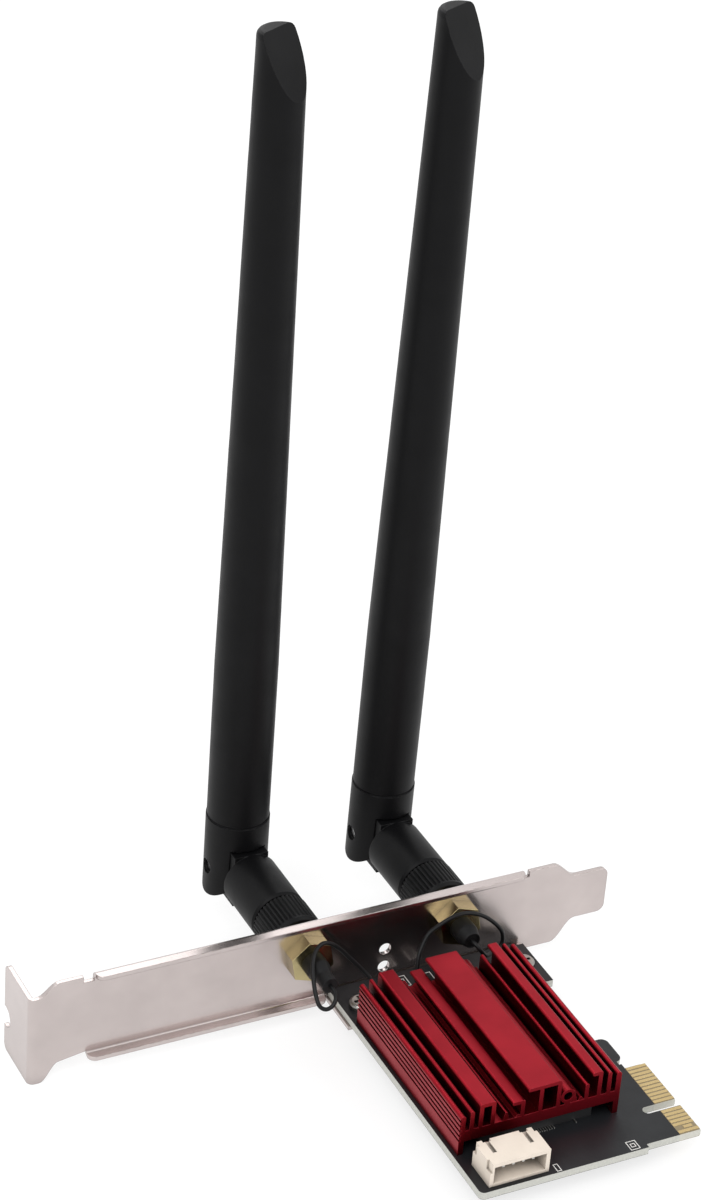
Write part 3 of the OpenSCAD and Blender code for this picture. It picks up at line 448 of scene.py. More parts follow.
@dataclass(frozen=True)
class Grain:
    """Fine height of the surface.

    Attributes:
        stretch: Frequency along each axis, as a share of the scale.
        scale: Noise scale, in waves a metre.
        depth: Height of the grain.
        strength: Strength of the bump.
    """

    stretch: Point = (1.0, 1.0, 1.0)
    scale: float = 3000.0
    depth: float = 0.00002
    strength: float = 0.4


@dataclass(frozen=True)
class Band:
    """Bare core between the two printed faces of a laminate.

    Attributes:
        colour: The core's colour.
        middle: Height of the core's middle.
        half: Half of the core's thickness.
        bare: Colour of the faces where no mask covers them.
        bare_from: Where along x the mask ends.
        bare_below: Where along y the bare part starts.
    """

    colour: Colour
    middle: float
    half: float
    bare: Colour
    bare_from: float
    bare_below: float


@dataclass(frozen=True)
class Finish:
    """One material of the card.

    Attributes:
        slot: The material slot it belongs to.
        colour: Its main colour.
        roughness: Its middle roughness.
        worn_and_lit_edges: Its edges, with scuffs and painted edge light.
        metallic: One for a metal, nought for anything else.
        specular: Strength of a non-metal's reflection.
        coat: Weight of a clear coat.
        tone: Its soft variation.
        grain: Its fine height.
        band: A bare core, if it is a laminate.
        painted_shade: How much shade is painted into its colour down in slots and corners.
    """

    slot: Slot
    colour: Colour
    roughness: float
    worn_and_lit_edges: EdgeWearAndLight
    metallic: float = 0.0
    specular: float = 0.5
    coat: float = 0.0
    tone: Tone = field(default_factory=Tone)
    grain: Grain = field(default_factory=Grain)
    band: Band | None = None
    painted_shade: float = 0.3


def opaque(colour: Colour) -> tuple[float, float, float, float]:
    """Adds full alpha to a colour.

    Args:
        colour: Red, green and blue.

    Returns:
        Red, green, blue and one.
    """
    return (*colour, 1.0)


def placed_group(
    tree: bpy.types.NodeTree,
    shared: bpy.types.NodeTree,
    links: dict[str, Socket],
    values: dict[str, object],
) -> bpy.types.Node:
    """Adds a shared group to a material.

    Args:
        tree: The material's tree.
        shared: The group to add.
        links: What is linked to its inputs, by name.
        values: The fixed values of its other inputs, by name.

    Returns:
        The group node.
    """
    node = add_node(tree, "ShaderNodeGroup", node_tree=shared)
    for name, source in links.items():
        tree.links.new(source, node.inputs[name])
    for name, value in values.items():
        node.inputs[name].default_value = value
    return node


class FinishLibrary:
    """Turns finishes into materials that share the same node groups."""

    def __init__(self) -> None:
        """Builds the shared groups once."""
        self.tone = surface_tone_group()
        self.edges = edge_wear_and_light_group()
        self.grain = grain_group()
        self.painted_shade = crease_shade_group()
        self.band = layer_band_group()
        self.materials: dict[Slot, bpy.types.Material] = {}

    def build(self, finish: Finish) -> None:
        """Builds one material.

        Args:
            finish: The finish to build.
        """
        material = bpy.data.materials.new(finish.slot.value)
        material.use_nodes = True
        tree = material.node_tree
        shader = tree.nodes["Principled BSDF"]
        place = add_node(tree, "ShaderNodeTexCoord").outputs["Object"]
        darker = tuple(channel * finish.tone.shade for channel in finish.colour)
        tone = placed_group(
            tree,
            self.tone,
            {"Vector": place},
            {
                "Color": opaque(finish.colour),
                "Shade": opaque(darker),
                "Scale": finish.tone.scale,
                "Roughness": finish.roughness,
                "Spread": finish.tone.spread,
            },
        )
        colour = tone.outputs["Color"]
        if finish.band:
            values = {
                "Core": opaque(finish.band.colour),
                "Middle": finish.band.middle,
                "Half": finish.band.half,
                "Bare": opaque(finish.band.bare),
                "Bare From": finish.band.bare_from,
                "Bare Below": finish.band.bare_below,
            }
            links = {"Vector": place, "Color": colour}
            colour = placed_group(tree, self.band, links, values).outputs["Color"]
        # Edge colour: scuffs with painted highlight and shade along the outer edges.
        edges = placed_group(
            tree,
            self.edges,
            {"Vector": place, "Color": colour},
            {
                "Worn And Lit": opaque(finish.worn_and_lit_edges.colour),
                "Amount": finish.worn_and_lit_edges.amount,
                "Radius": finish.worn_and_lit_edges.radius,
            },
        )
        # Painted shade in slots, gaps and corners.
        painted_shade = placed_group(
            tree,
            self.painted_shade,
            {"Color": edges.outputs["Color"]},
            {"Amount": finish.painted_shade},
        )
        grain = placed_group(
            tree,
            self.grain,
            {"Vector": place},
            {"Stretch": finish.grain.stretch, "Scale": finish.grain.scale},
        )
        bump = add_node(tree, "ShaderNodeBump")
        bump.inputs["Strength"].default_value = finish.grain.strength
        bump.inputs["Distance"].default_value = finish.grain.depth
        tree.links.new(grain.outputs["Height"], bump.inputs["Height"])
        tree.links.new(edges.outputs["Normal"], bump.inputs["Normal"])
        tree.links.new(painted_shade.outputs["Color"], shader.inputs["Base Color"])
        tree.links.new(tone.outputs["Roughness"], shader.inputs["Roughness"])
        tree.links.new(bump.outputs["Normal"], shader.inputs["Normal"])
        shader.inputs["Metallic"].default_value = finish.metallic
        shader.inputs["Specular IOR Level"].default_value = finish.specular
        shader.inputs["Coat Weight"].default_value = finish.coat
        shader.inputs["Coat Roughness"].default_value = COAT_ROUGHNESS
        self.materials[finish.slot] = material

    def dress(self, subparts: list[dict], nodes: dict[str, bpy.types.Object]) -> None:
        """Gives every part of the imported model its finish.

        Args:
            subparts: The record's rows, each with a node and its material slot.
            nodes: The model's objects by name.
        """
        for row in subparts:
            part = nodes[row["node"]]
            material = self.materials[Slot(row["material_slot"])]
            if not part.data.materials:
                part.data.materials.append(material)
            for place in part.material_slots:
                place.material = material
            log.info("finish %s on %s", row["material_slot"], row["node"])


EVEN = (1.0, 1.0, 1.0)
ALONG_X = (0.03, 1.0, 1.0)
ALONG_Y = (1.0, 0.02, 1.0)

# A lighter edge colour paints highlights along the edges; a darker one paints shade.
FINISHES = [
    Finish(
        Slot.BRACKET_STEEL,
        (0.58, 0.515, 0.50),
        0.24,
        # This darker edge colour paints shade along the bracket's folds and edges.
        EdgeWearAndLight((0.24, 0.21, 0.20), 0.75, 0.00025),
        metallic=1.0,
        tone=Tone(0.88, 70.0, 0.06),
        grain=Grain(ALONG_X, 2500.0, 0.000004, 0.15),
    ),
    Finish(
        Slot.BOARD_BLACK,
        (0.011, 0.012, 0.014),
        0.42,
        EdgeWearAndLight((0.05, 0.05, 0.05), 0.4, 0.0001),
        specular=0.28,
        tone=Tone(0.7, 260.0, 0.12),
        grain=Grain(EVEN, 1800.0, 0.00001, 0.25),
        band=Band(
            colour=(0.60, 0.60, 0.55),
            middle=-0.00275,
            half=0.00074,
            bare=(0.24, 0.19, 0.11),
            bare_from=0.1006,
            bare_below=-0.0529,
        ),
    ),
    Finish(
        Slot.CONTACT_GOLD,
        (0.60, 0.455, 0.225),
        0.30,
        EdgeWearAndLight((0.62, 0.52, 0.36), 0.5, 0.00005),
        metallic=1.0,
        tone=Tone(0.82, 500.0, 0.14),
        grain=Grain(ALONG_Y, 4000.0, 0.000006, 0.25),
    ),
    Finish(
        Slot.ANODISED_RED,
        (0.315, 0.0105, 0.020),
        0.38,
        EdgeWearAndLight((0.50, 0.10, 0.12), 0.45, 0.00010),
        metallic=1.0,
        coat=0.04,
        tone=Tone(0.86, 150.0, 0.08),
        grain=Grain(ALONG_Y, 3500.0, 0.00002, 0.35),
        # Strong painted shade down the channels between the fins.
        painted_shade=0.8,
    ),
    Finish(
        Slot.PAD_GREY,
        (0.28, 0.30, 0.32),
        0.75,
        EdgeWearAndLight((0.40, 0.42, 0.44), 0.3),
        tone=Tone(0.8, 400.0, 0.1),
    ),
    Finish(
        Slot.MODULE_GREEN,
        (0.012, 0.075, 0.030),
        0.4,
        EdgeWearAndLight((0.10, 0.16, 0.08), 0.4, 0.0001),
        tone=Tone(0.75, 350.0, 0.1),
    ),
    Finish(
        Slot.SHIELD_STEEL,
        (0.62, 0.61, 0.60),
        0.32,
        EdgeWearAndLight((0.75, 0.74, 0.72), 0.5),
        metallic=1.0,
        grain=Grain(ALONG_X, 3000.0, 0.00001, 0.3),
    ),
    Finish(
        Slot.SOCKET_BLACK,
        (0.012, 0.012, 0.013),
        0.5,
        EdgeWearAndLight((0.04, 0.04, 0.04), 0.4),
    ),
    Finish(
        Slot.TIN,
        (0.58, 0.57, 0.54),
        0.3,
        EdgeWearAndLight((0.80, 0.78, 0.74), 0.4, 0.00006),
        metallic=1.0,
        tone=Tone(0.8, 700.0, 0.15),
        grain=Grain(EVEN, 5000.0, 0.00001, 0.4),
    ),
    Finish(
        Slot.JACK_BRASS,
        (0.50, 0.42, 0.22),
        0.20,
        EdgeWearAndLight((0.68, 0.58, 0.32), 0.6, 0.00012),
        metallic=1.0,
        tone=Tone(0.86, 300.0, 0.1),
        grain=Grain(ALONG_X, 3500.0, 0.000008, 0.3),
    ),
    Finish(
        Slot.SCREW_STEEL,
        (0.34, 0.33, 0.31),
        0.28,
        EdgeWearAndLight((0.55, 0.54, 0.51), 0.6, 0.0001),
        metallic=1.0,
        tone=Tone(0.85, 400.0, 0.1),
    ),
    Finish(
        Slot.HEADER_IVORY,
        (0.75, 0.66, 0.565),
        0.42,
        # This lighter edge colour paints highlights along the header's edges.
        EdgeWearAndLight((0.84, 0.77, 0.69), 0.4, 0.00012),
        tone=Tone(0.93, 220.0, 0.08),
        grain=Grain(EVEN, 3000.0, 0.000012, 0.3),
        # Strong painted shade inside the header's window.
        painted_shade=0.85,
    ),
    Finish(
        Slot.PTFE_WHITE,
        (0.78, 0.77, 0.74),
        0.5,
        EdgeWearAndLight((0.84, 0.83, 0.80), 0.3),
        tone=Tone(0.93, 500.0, 0.06),
    ),
    Finish(
        Slot.SLEEVE_BLACK,
        (0.005, 0.005, 0.0055),
        0.50,
        EdgeWearAndLight((0.02, 0.02, 0.02), 0.4),
        specular=0.22,
        grain=Grain(ALONG_Y, 2500.0, 0.00002, 0.35),
    ),
    Finish(
        Slot.LEAD_BLACK,
        (0.004, 0.004, 0.0045),
        0.42,
        EdgeWearAndLight((0.015, 0.015, 0.015), 0.3, 0.0001),
        specular=0.22,
        tone=Tone(0.75, 500.0, 0.1),
        grain=Grain(EVEN, 2500.0, 0.00001, 0.3),
    ),
    Finish(
        Slot.KNURL_BLACK,
        (0.0036, 0.0036, 0.0040),
        0.42,
        EdgeWearAndLight((0.028, 0.028, 0.029), 0.6, 0.00015),
        specular=0.14,
        tone=Tone(0.75, 350.0, 0.1),
        grain=Grain(EVEN, 2200.0, 0.00002, 0.4),
    ),
    Finish(
        Slot.ANTENNA_BLACK,
        (0.0032, 0.0032, 0.0037),
        0.46,
        # This lighter edge colour paints a highlight along the whip's edges and seam.
        EdgeWearAndLight((0.030, 0.030, 0.032), 0.55, 0.00022),
        specular=0.13,
        tone=Tone(0.72, 130.0, 0.09),
        grain=Grain(EVEN, 1500.0, 0.00003, 0.45),
    ),
    Finish(
        Slot.PIN_STEEL,
        (0.45, 0.45, 0.45),
        0.3,
        EdgeWearAndLight((0.60, 0.60, 0.60), 0.5, 0.0001),
        metallic=1.0,
        grain=Grain(ALONG_X, 3000.0, 0.000006, 0.3),
    ),
]


# ---- geometry trees


class GeometryTree(TreePlan):
    """A geometry node tree that ends in plain geometry and a material."""

    def __init__(self, name: str) -> None:
        """Makes the tree with a geometry and a material input.

        Args:
            name: The tree's name.
        """
        super().__init__(name, "GeometryNodeTree")
        self.geometry = self.takes("Geometry", "Geometry")
        self.material = self.takes("Material", "Material")

    def close(self, shape: Socket) -> bpy.types.NodeTree:
        """Ends the tree with real geometry in one material.

        Args:
            shape: The output socket that carries the shape.

        Returns:
            The finished tree.
        """
        real = self.node("GeometryNodeRealizeInstances")
        paint = self.node("GeometryNodeSetMaterial")
        self.feed(real.inputs["Geometry"], shape)
        self.feed(paint.inputs["Geometry"], real.outputs["Geometry"])
        self.feed(paint.inputs["Material"], self.material)
        self.gives("Geometry", "Geometry", paint.outputs["Geometry"])
        return self.tree

    def scatter(self, shape: Socket) -> bpy.types.NodeTree:
        """Ends the tree with the shape on every point, at the point's own size.

        Args:
            shape: The output socket that carries the shape.

        Returns:
            The finished tree.
        """
        size = self.node("GeometryNodeInputNamedAttribute", data_type="FLOAT_VECTOR")
        size.inputs["Name"].default_value = SPAN
        points = self.node("GeometryNodeMeshToPoints")
        spread = self.node("GeometryNodeInstanceOnPoints")
        self.feed(points.inputs["Mesh"], self.geometry)
        self.feed(spread.inputs["Points"], points.outputs["Points"])
        self.feed(spread.inputs["Instance"], shape)
        self.feed(spread.inputs["Scale"], size.outputs["Attribute"])
        return self.close(spread.outputs["Instances"])


def tube_tree() -> bpy.types.NodeTree:
    """Makes the tree that sweeps a round tube along a curve.

    Returns:
        The finished tree.
    """
    plan = GeometryTree("tube_along_curve")
    ring = plan.node("GeometryNodeCurvePrimitiveCircle")
    plan.feed(ring.inputs["Radius"], plan.takes("Radius", "Float", 0.0004))
    plan.feed(ring.inputs["Resolution"], plan.takes("Sides", "Int", 16))
    sweep = plan.node("GeometryNodeCurveToMesh")
    sweep.inputs["Fill Caps"].default_value = True
    plan.feed(sweep.inputs["Curve"], plan.geometry)
    plan.feed(sweep.inputs["Profile Curve"], ring.outputs["Curve"])
    return plan.close(sweep.outputs["Mesh"])


def bars_tree() -> bpy.types.NodeTree:
    """Makes the tree that puts a flat bar of its own size at every point.

    Returns:
        The finished tree.
    """
    plan = GeometryTree("bars_on_points")
    return plan.scatter(plan.node("GeometryNodeMeshCube").outputs["Mesh"])


def cones_tree() -> bpy.types.NodeTree:
    """Makes the tree that puts a small cone with the point's own size on every point.

    Returns:
        The finished tree.
    """
    plan = GeometryTree("cones_on_points")
    cone = plan.node("GeometryNodeMeshCone")
    cone.inputs["Radius Bottom"].default_value = 1.0
    cone.inputs["Depth"].default_value = 1.0
    plan.feed(cone.inputs["Vertices"], plan.takes("Sides", "Int", 20))
    plan.feed(cone.inputs["Radius Top"], plan.takes("Tip", "Float", 0.5))
    return plan.scatter(cone.outputs["Mesh"])


def grown(
    source: bpy.types.Object,
    tree: bpy.types.NodeTree,
    values: dict[str, object],
    name: str,
    smooth: bool,
) -> bpy.types.Object:
    """Runs a geometry tree on an object and keeps the result as a plain mesh.

    Args:
        source: The object that carries the points or the curve.
        tree: The geometry tree.
        values: The tree's inputs by name.
        name: The new piece's name.
        smooth: Whether its faces are shaded smooth.

    Returns:
        The new piece, at the origin.
    """
    modifier = source.modifiers.new("grow", "NODES")
    modifier.node_group = tree
    for item in tree.interface.items_tree:
        if item.in_out == "INPUT" and item.name in values:
            modifier[item.identifier] = values[item.name]
    graph = bpy.context.evaluated_depsgraph_get()
    mesh = bpy.data.meshes.new_from_object(
        source.evaluated_get(graph), depsgraph=graph
    )
    mesh.name = name
    if SPAN in mesh.attributes:
        mesh.attributes.remove(mesh.attributes[SPAN])
    mesh.polygons.foreach_set("use_smooth", [smooth] * len(mesh.polygons))
    piece = shown(name, mesh)
    bpy.data.objects.remove(source)
    return piece


def point_cloud(rows: list[tuple[Vector, Vector]]) -> bpy.types.Object:
    """Makes a mesh of loose points, each with the size of what will stand on it.

    Args:
        rows: A place and a size for every point.

    Returns:
        The carrier of the points.
    """
    mesh = bpy.data.meshes.new("points")
    mesh.from_pydata([place for place, _ in rows], [], [])
    span = mesh.attributes.new(SPAN, "FLOAT_VECTOR", "POINT")
    span.data.foreach_set("vector", [value for _, size in rows for value in size])
    return shown("points", mesh)


# ---- the leads


@dataclass(frozen=True)
class LeadSize:
    """Sizes and route of one thin coaxial lead.

    Attributes:
        node: The model's lead that the cord stands for.
        sleeve: The model's shrink sleeve over the start of the lead; not used.
        jack_x: Where the jack is.
        sleeve_end: Where the sleeve ends.
        plug_x: Where the lead goes down to its plug.
        route: Points in millimetres between the sleeve and the plug.
        jack_z: Height of the jack.
        start_y: Where the lead leaves the jack's crimp.
        plug_y: Where it ends over its plug.
        plug_z: Height of that end.
        diameter: Thickness of the lead.
        step: Longest distance between two points of its line.
        sides: Number of its flats.
    """

    node: str
    sleeve: str
    jack_x: float
    sleeve_end: float
    plug_x: float
    route: list[Point]
    jack_z: float = 7.6
    start_y: float = -17.49
    plug_y: float = -30.49
    plug_z: float = 0.25
    diameter: float = 0.81
    step: float = 0.35
    sides: int = 16


class Lead:
    """A thin black coaxial lead from a jack to its plug under the heat sink."""

    def __init__(self, size: LeadSize) -> None:
        """Keeps the sizes.

        Args:
            size: The lead's sizes and route.
        """
        self.size = size

    def centreline(self) -> list[Vector]:
        """Smooths the route into closely spaced points.

        Returns:
            The points, in metres.
        """
        size = self.size
        middle = (size.start_y + size.sleeve_end) / 2
        stops = [
            (size.jack_x, size.start_y, size.jack_z),
            (size.jack_x, middle, size.jack_z),
            (size.jack_x, size.sleeve_end, size.jack_z),
            *size.route,
            (size.plug_x, size.plug_y, size.plug_z),
        ]
        stations = [Vector(stop) * MM for stop in stops]
        last = len(stations) - 1
        line = []
        for index in range(last):
            before = stations[max(index - 1, 0)]
            here, there = stations[index], stations[index + 1]
            after = stations[min(index + 2, last)]
            count = max(1, math.ceil((there - here).length / (size.step * MM)))
            for part in range(count):
                line.append(between(before, here, there, after, part / count))
        line.append(stations[last])
        return line

    def build(self, tree: bpy.types.NodeTree, library: FinishLibrary) -> None:
        """Args:
            tree: The tree that sweeps a tube along a curve.
            library: The card's finishes.
        """
        size = self.size
        line = self.centreline()
        curve = bpy.data.curves.new("lead_line", "CURVE")
        curve.dimensions = "3D"
        spline = curve.splines.new("POLY")
        spline.points.add(len(line) - 1)
        for point, place in zip(spline.points, line):
            point.co = (*place, 1.0)
        carrier = shown("lead_line", curve)
        values = {
            "Radius": size.diameter / 2 * MM,
            "Sides": size.sides,
            "Material": library.materials[Slot.LEAD_BLACK],
        }
        piece = grown(carrier, tree, values, "smooth_" + size.node, smooth=True)
        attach(piece, Body.CARD.value)
        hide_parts(size.node)


def between(
    before: Vector, here: Vector, there: Vector, after: Vector, share: float
) -> Vector:
    """Gives a point of the smooth curve between two stations.

    Args:
        before: The station before the span.
        here: The span's start.
        there: The span's end.
        after: The station after the span.
        share: How far along the span, from nought to one.

    Returns:
        The point.
    """
    linear = there - before
    square = 2 * before - 5 * here + 4 * there - after
    cube = 3 * here - before - 3 * there + after
    return (2 * here + linear * share + square * share**2 + cube * share**3) / 2


LEFT_LEAD = LeadSize(
    node="left_lead",
    sleeve="left_sleeve",
    jack_x=54.4,
    sleeve_end=-22.2,
    plug_x=67.8,
    route=[
        (54.4, -23.8, 7.5),
        (54.1, -25.2, 6.9),
        (53.2, -25.9, 6.0),
        (52.1, -25.5, 5.2),
        (51.4, -24.2, 5.2),
        (51.4, -22.4, 6.4),
        (51.8, -20.3, 8.2),
        (52.6, -18.0, 10.0),
        (54.0, -16.2, 11.5),
        (55.9, -15.3, 12.1),
        (58.0, -14.95, 11.1),
        (60.2, -14.6, 8.9),
        (62.2, -14.8, 6.5),
        (64.6, -15.6, 3.7),
        (66.4, -17.6, 1.6),
        (67.4, -20.2, 0.5),
        (67.7, -23.0, 0.25),
        (67.8, -26.0, 0.25),
    ],
)

RIGHT_LEAD = LeadSize(
    node="right_lead",
    sleeve="right_sleeve",
    jack_x=85.5,
    sleeve_end=-19.2,
    plug_x=73.8,
    route=[
        (85.8, -20.5, 7.3),
        (86.6, -21.3, 6.2),
        (87.8, -20.9, 4.7),
        (89.2, -19.4, 3.2),
        (91.0, -17.8, 2.2),
        (92.9, -17.0, 2.1),
        (93.9, -16.7, 3.5),
        (93.4, -16.7, 6.0),
        (91.3, -16.7, 8.7),
        (88.5, -16.7, 11.0),
        (85.2, -16.7, 12.3),
        (82.3, -16.7, 12.1),
        (79.9, -16.7, 11.1),
        (77.4, -17.0, 9.9),
        (75.8, -17.7, 8.1),
        (74.6, -18.7, 6.4),
        (73.9, -19.8, 4.2),
        (73.5, -20.8, 2.2),
        (73.5, -22.2, 0.8),
        (73.7, -24.4, 0.25),
        (74.0, -26.6, 0.25),
    ],
)


# ---- the board's details


@dataclass(frozen=True)
class ConeSize:
    """A small cut-off cone, in millimetres.

    Attributes:
        radius: Radius of its foot.
        height: Its height.
        tip: Its top radius, as a share of the foot's.
        sides: Number of its flats.
    """

    radius: float
    height: float
    tip: float
    sides: int


@dataclass(frozen=True)
class BoardDetailSize:
    """Sizes of the printed marks, tracks and solder, in millimetres.

    Attributes:
        top: Height of the board's upper face.
        low: Height of the board's lower face.
        ink: Thickness of the printed ink.
        line: Width of a printed line.
        boxes: Printed outlines, each as low x, low y, high x, high y.
        copper: Thickness of a track under the mask.
        track: Width of a track.
        rows: Number of tracks that lead to the edge contacts.
        first_row: Where the first of them is, along the board.
        row_pitch: Distance from one to the next.
        row_end: Where they end, next to the contacts.
        first_hole: Where the first of their holes is, across the board.
        hole_shift: How far the next hole is set off.
        hole_cycle: Number of holes before the offset starts again.
        tails: Where the header's tails are, across the board.
        tail_y: Where they are, along the board.
        tail_track: Middle and length of a tail's track, along the board.
        tail_hole: Where that track's hole is, along the board.
        fillet: A solder fillet.
        via: The rim of a plated hole.
    """

    top: float = -1.95
    low: float = -3.55
    ink: float = 0.02
    line: float = 0.18
    boxes: tuple[tuple[float, float, float, float], ...] = (
        (90.2, -73.8, 92.0, -71.6),
        (90.7, -73.1, 91.5, -72.3),
        (75.0, -73.9, 75.8, -72.1),
        (72.6, -16.5, 74.8, -13.4),
        (73.2, -15.6, 74.2, -14.3),
        (78.2, -17.2, 79.9, -14.2),
    )
    copper: float = 0.03
    track: float = 0.25
    rows: int = 9
    first_row: float = -40.0
    row_pitch: float = 2.4
    row_end: float = 99.0
    first_hole: float = 78.0
    hole_shift: float = 1.3
    hole_cycle: int = 4
    tails: tuple[float, ...] = (64.5, 66.5, 68.5, 70.5)
    tail_y: float = -65.99
    tail_track: tuple[float, float] = (-60.8, 10.4)
    tail_hole: float = -55.6
    fillet: ConeSize = ConeSize(radius=0.75, height=0.55, tip=0.35, sides=24)
    via: ConeSize = ConeSize(radius=0.3, height=0.03, tip=1.0, sides=16)


class BoardDetails:
    """Printed marks, tracks, plated holes and solder fillets of the circuit board."""

    def __init__(self, size: BoardDetailSize, library: FinishLibrary) -> None:
        """Keeps the sizes and the finishes, and builds the shared trees.

        Args:
            size: The details' sizes.
            library: The card's finishes.
        """
        self.size = size
        self.library = library
        self.bars = bars_tree()
        self.cones = cones_tree()

    def bar_piece(
        self, rows: list[tuple[Point, Point]], name: str, slot: Slot
    ) -> None:
        """Makes one piece of many flat bars and puts it on the card.

        Args:
            rows: The middle and the size of every bar, in millimetres.
            name: The piece's name.
            slot: Its material slot.
        """
        carrier = point_cloud([(Vector(p) * MM, Vector(s) * MM) for p, s in rows])
        values = {"Material": self.library.materials[slot]}
        fit(grown(carrier, self.bars, values, name, smooth=False))

    def printed_marks(self) -> None:
        """Draws the plain outlines printed beside the front edge."""
        size = self.size
        height = size.top + size.ink / 2
        rows = []
        for low_x, low_y, high_x, high_y in size.boxes:
            middle_x, middle_y = (low_x + high_x) / 2, (low_y + high_y) / 2
            across = (high_x - low_x + size.line, size.line, size.ink)
            along = (size.line, high_y - low_y - size.line, size.ink)
            rows += [((middle_x, y, height), across) for y in (low_y, high_y)]
            rows += [((x, middle_y, height), along) for x in (low_x, high_x)]
        self.bar_piece(rows, "printed_marks", Slot.PTFE_WHITE)

    def row_holes(self) -> list[tuple[float, float]]:
        """Gives the holes where the contacts' tracks start.

        Returns:
            Their places on the board, in millimetres.
        """
        size = self.size
        return [
            (
                size.first_hole + size.hole_shift * (index % size.hole_cycle),
                size.first_row - size.row_pitch * index,
            )
            for index in range(size.rows)
        ]

    def tracks(self) -> None:
        """Lays the tracks of the lower face, under the solder mask."""
        size = self.size
        height = size.low - size.copper / 2
        rows = []
        for x, y in self.row_holes():
            span = (size.row_end - x, size.track, size.copper)
            rows.append((((x + size.row_end) / 2, y, height), span))
        middle, length = size.tail_track
        for x in size.tails:
            rows.append(((x, middle, height), (size.track, length, size.copper)))
        self.bar_piece(rows, "lower_tracks", Slot.BOARD_BLACK)

    def cone_piece(
        self, places: list[tuple[float, float]], cone: ConeSize, name: str, smooth: bool
    ) -> bpy.types.Object:
        """Makes one tin piece of many cones that stand in a layer under the board.

        Args:
            places: Where they stand on the board, in millimetres.
            cone: The size of each.
            name: The piece's name.
            smooth: Whether the piece is shaded smooth.

        Returns:
            The piece.
        """
        span = Vector((cone.radius, cone.radius, cone.height)) * MM
        level = self.size.low - cone.height
        carrier = point_cloud([(Vector((x, y, level)) * MM, span) for x, y in places])
        values = {
            "Sides": cone.sides,
            "Tip": cone.tip,
            "Material": self.library.materials[Slot.TIN],
        }
        return grown(carrier, self.cones, values, name, smooth)

    def plated_holes(self) -> None:
        """Sets the rims of the plated holes on the lower face."""
        size = self.size
        places = self.row_holes() + [(x, size.tail_hole) for x in size.tails]
        fit(self.cone_piece(places, size.via, "plated_holes", smooth=False))

    def solder(self) -> None:
        """Sets a solder fillet round every tail of the header, on the lower face."""
        size = self.size
        places = [(x, size.tail_y) for x in size.tails]
        piece = self.cone_piece(places, size.fillet, "solder_fillets", smooth=True)
        piece.data.transform(flip_about(size.low * MM, size.fillet.height * MM))
        piece.data.flip_normals()
        fit(piece)

    def build(self) -> None:
        """Builds every detail of the board."""
        self.printed_marks()
        self.tracks()
        self.plated_holes()
        self.solder()


def fit(piece: bpy.types.Object) -> None:
    """Puts a finished piece on the card.

    Args:
        piece: The new piece.
    """
    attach(piece, Body.CARD.value)
    log.info("piece %s", piece.name)


def flip_about(level: float, height: float) -> Matrix:
    """Gives the mirror that turns cones upside down within their own height.

    Args:
        level: The face that the cones hang from.
        height: The cones' height.

    Returns:
        A matrix that mirrors heights about the cones' middle.
    """
    middle = Vector((0.0, 0.0, level - height / 2))
    mirror = Matrix.Scale(-1.0, 4, Vector((0.0, 0.0, 1.0)))
    return Matrix.Translation(middle) @ mirror @ Matrix.Translation(-middle)


# ---- camera, light and floor


@dataclass(frozen=True)
class StageSize:
    """The camera, the lamps, the world and the floor.

    Attributes:
        camera_place: Where the camera stands.
        camera_turn: Its turn about x, y and z, in degrees.
        lens: Its focal length, in millimetres.
        sensor: Its sensor's longer side, in millimetres.
        world_light: Strength of the world's soft light on matt surfaces.
        floor_level: Height of the floor.
        floor_side: Side of the square floor.
        floor_glow: Light that the floor gives off of its own.
        floor_grey: How much light the floor gives back.
    """

    camera_place: Point = (-0.18396074, -0.46304815, 0.39392382)
    camera_turn: Point = (58.77285735, -3.7966067, -25.94490456)
    lens: float = 102.16
    sensor: float = 36.0
    world_light: float = 0.75
    floor_level: float = -0.00765
    floor_side: float = 8.0
    floor_glow: float = 0.72
    floor_grey: float = 0.30


@dataclass(frozen=True)
class Lamp:
    """A soft square lamp.

    Attributes:
        name: The lamp's name.
        place: Where it hangs.
        target: What it points at.
        side: Its side.
        power: Its power, in watts.
    """

    name: str
    place: Point
    target: Point
    side: float
    power: float


LAMPS = [
    Lamp("key_lamp", (-0.5, -0.5, 0.9), (0.06, -0.03, 0.05), 0.7, 6.0),
    Lamp("fill_lamp", (0.8, -0.6, 0.6), (0.06, -0.03, 0.05), 0.8, 3.5),
    Lamp("rear_lamp", (0.1, 0.8, 0.8), (0.06, -0.03, 0.08), 0.8, 3.0),
]


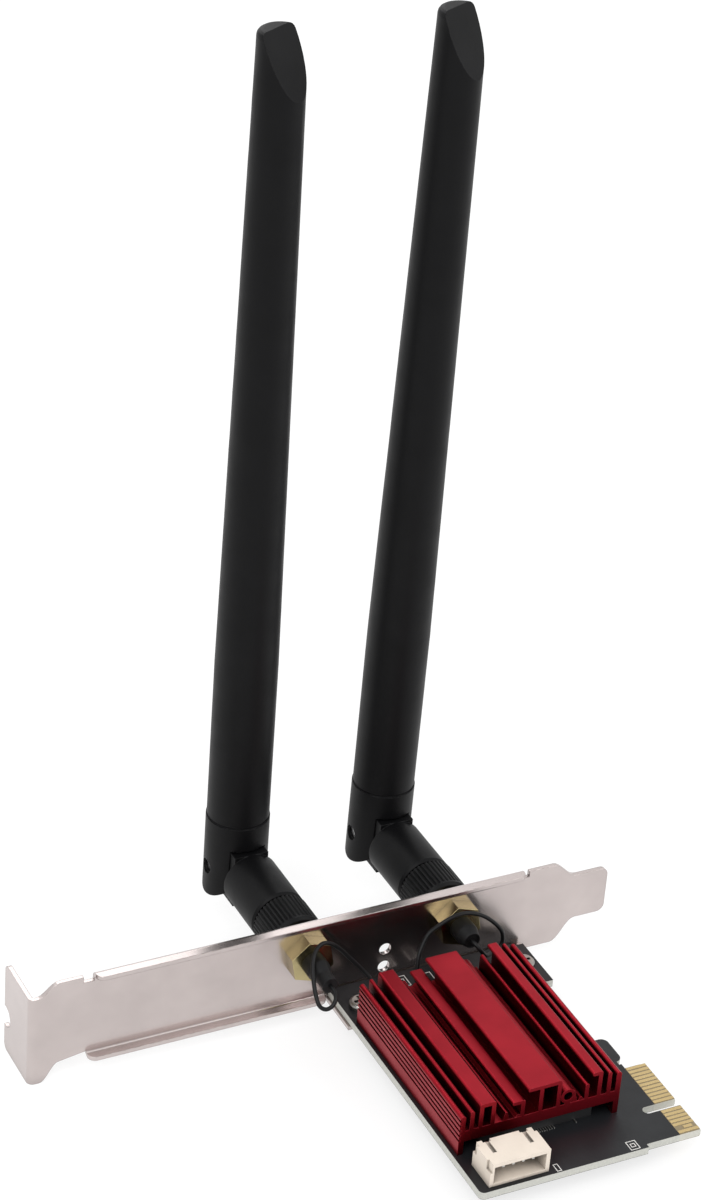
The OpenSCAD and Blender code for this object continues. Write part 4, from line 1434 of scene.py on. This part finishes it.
class Studio:
    """The white studio that the card was photographed in."""

    def __init__(self, size: StageSize) -> None:
        """Keeps the sizes.

        Args:
            size: The studio's sizes.
        """
        self.size = size

    def camera(self) -> None:
        """Sets the camera of the photograph."""
        size = self.size
        data = bpy.data.cameras.new("camera")
        data.lens = size.lens
        data.sensor_width = size.sensor
        data.sensor_fit = "AUTO"
        data.clip_start = 0.01
        data.clip_end = 50.0
        camera = shown("camera", data)
        camera.location = size.camera_place
        camera.rotation_euler = [math.radians(angle) for angle in size.camera_turn]
        bpy.context.scene.camera = camera

    def world(self) -> None:
        """Sets a white background with a softer light for matt surfaces."""
        world = bpy.data.worlds.new("white_world")
        world.use_nodes = True
        tree = world.node_tree
        glow = tree.nodes["Background"]
        glow.inputs["Color"].default_value = WHITE
        ray = add_node(tree, "ShaderNodeLightPath")
        seen = add_node(tree, "ShaderNodeMath", operation="MAXIMUM")
        bright = add_node(tree, "ShaderNodeMath", operation="MAXIMUM")
        level = add_node(tree, "ShaderNodeMapRange", clamp=True)
        level.inputs["To Min"].default_value = self.size.world_light
        tree.links.new(ray.outputs["Is Camera Ray"], seen.inputs[0])
        tree.links.new(ray.outputs["Is Glossy Ray"], seen.inputs[1])
        tree.links.new(seen.outputs[0], bright.inputs[0])
        tree.links.new(ray.outputs["Is Transmission Ray"], bright.inputs[1])
        tree.links.new(bright.outputs[0], level.inputs["Value"])
        tree.links.new(level.outputs["Result"], glow.inputs["Strength"])
        bpy.context.scene.world = world

    def lamps(self) -> None:
        """Hangs the soft lamps."""
        for row in LAMPS:
            data = bpy.data.lights.new(row.name, "AREA")
            data.shape = "SQUARE"
            data.size = row.side
            data.energy = row.power
            lamp = shown(row.name, data)
            lamp.location = row.place
            aim = Vector(row.target) - Vector(row.place)
            lamp.rotation_euler = aim.to_track_quat("-Z", "Y").to_euler()

    def floor(self) -> None:
        """Lays the pale floor that keeps a faint shadow, and that is clear from below."""
        size = self.size
        half = size.floor_side / 2
        mesh = bpy.data.meshes.new("floor")
        corners = [(-half, -half), (half, -half), (half, half), (-half, half)]
        places = [(x, y, size.floor_level) for x, y in corners]
        mesh.from_pydata(places, [], [(0, 1, 2, 3)])
        material = bpy.data.materials.new("floor_white")
        material.use_nodes = True
        tree = material.node_tree
        shader = tree.nodes["Principled BSDF"]
        shader.inputs["Base Color"].default_value = opaque((size.floor_grey,) * 3)
        shader.inputs["Roughness"].default_value = 1.0
        shader.inputs["Specular IOR Level"].default_value = 0.0
        shader.inputs["Emission Color"].default_value = WHITE
        shader.inputs["Emission Strength"].default_value = size.floor_glow
        side = add_node(tree, "ShaderNodeNewGeometry")
        clear = add_node(tree, "ShaderNodeBsdfTransparent")
        choice = add_node(tree, "ShaderNodeMixShader")
        tree.links.new(side.outputs["Backfacing"], choice.inputs[0])
        tree.links.new(shader.outputs[0], choice.inputs[1])
        tree.links.new(clear.outputs[0], choice.inputs[2])
        output = tree.nodes["Material Output"]
        tree.links.new(choice.outputs[0], output.inputs["Surface"])
        mesh.materials.append(material)
        shown("floor", mesh)

    def build(self) -> None:
        """Builds the whole studio."""
        self.world()
        self.lamps()
        self.floor()
        view = bpy.context.scene.view_settings
        view.view_transform = "Standard"


def main() -> None:
    """Builds the scene in order: camera, finishes, leads, board details, studio."""
    logging.basicConfig(level=logging.INFO, format="%(name)s: %(message)s")
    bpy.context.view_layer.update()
    studio = Studio(StageSize())
    studio.camera()
    library = FinishLibrary()
    for finish in FINISHES:
        library.build(finish)
    tree = tube_tree()
    for size in (LEFT_LEAD, RIGHT_LEAD):
        Lead(size).build(tree, library)
    library.dress(frame["record"]["subparts"], frame["nodes"])
    BoardDetails(BoardDetailSize(), library).build()
    studio.build()


if __name__ == "__main__":
    main()
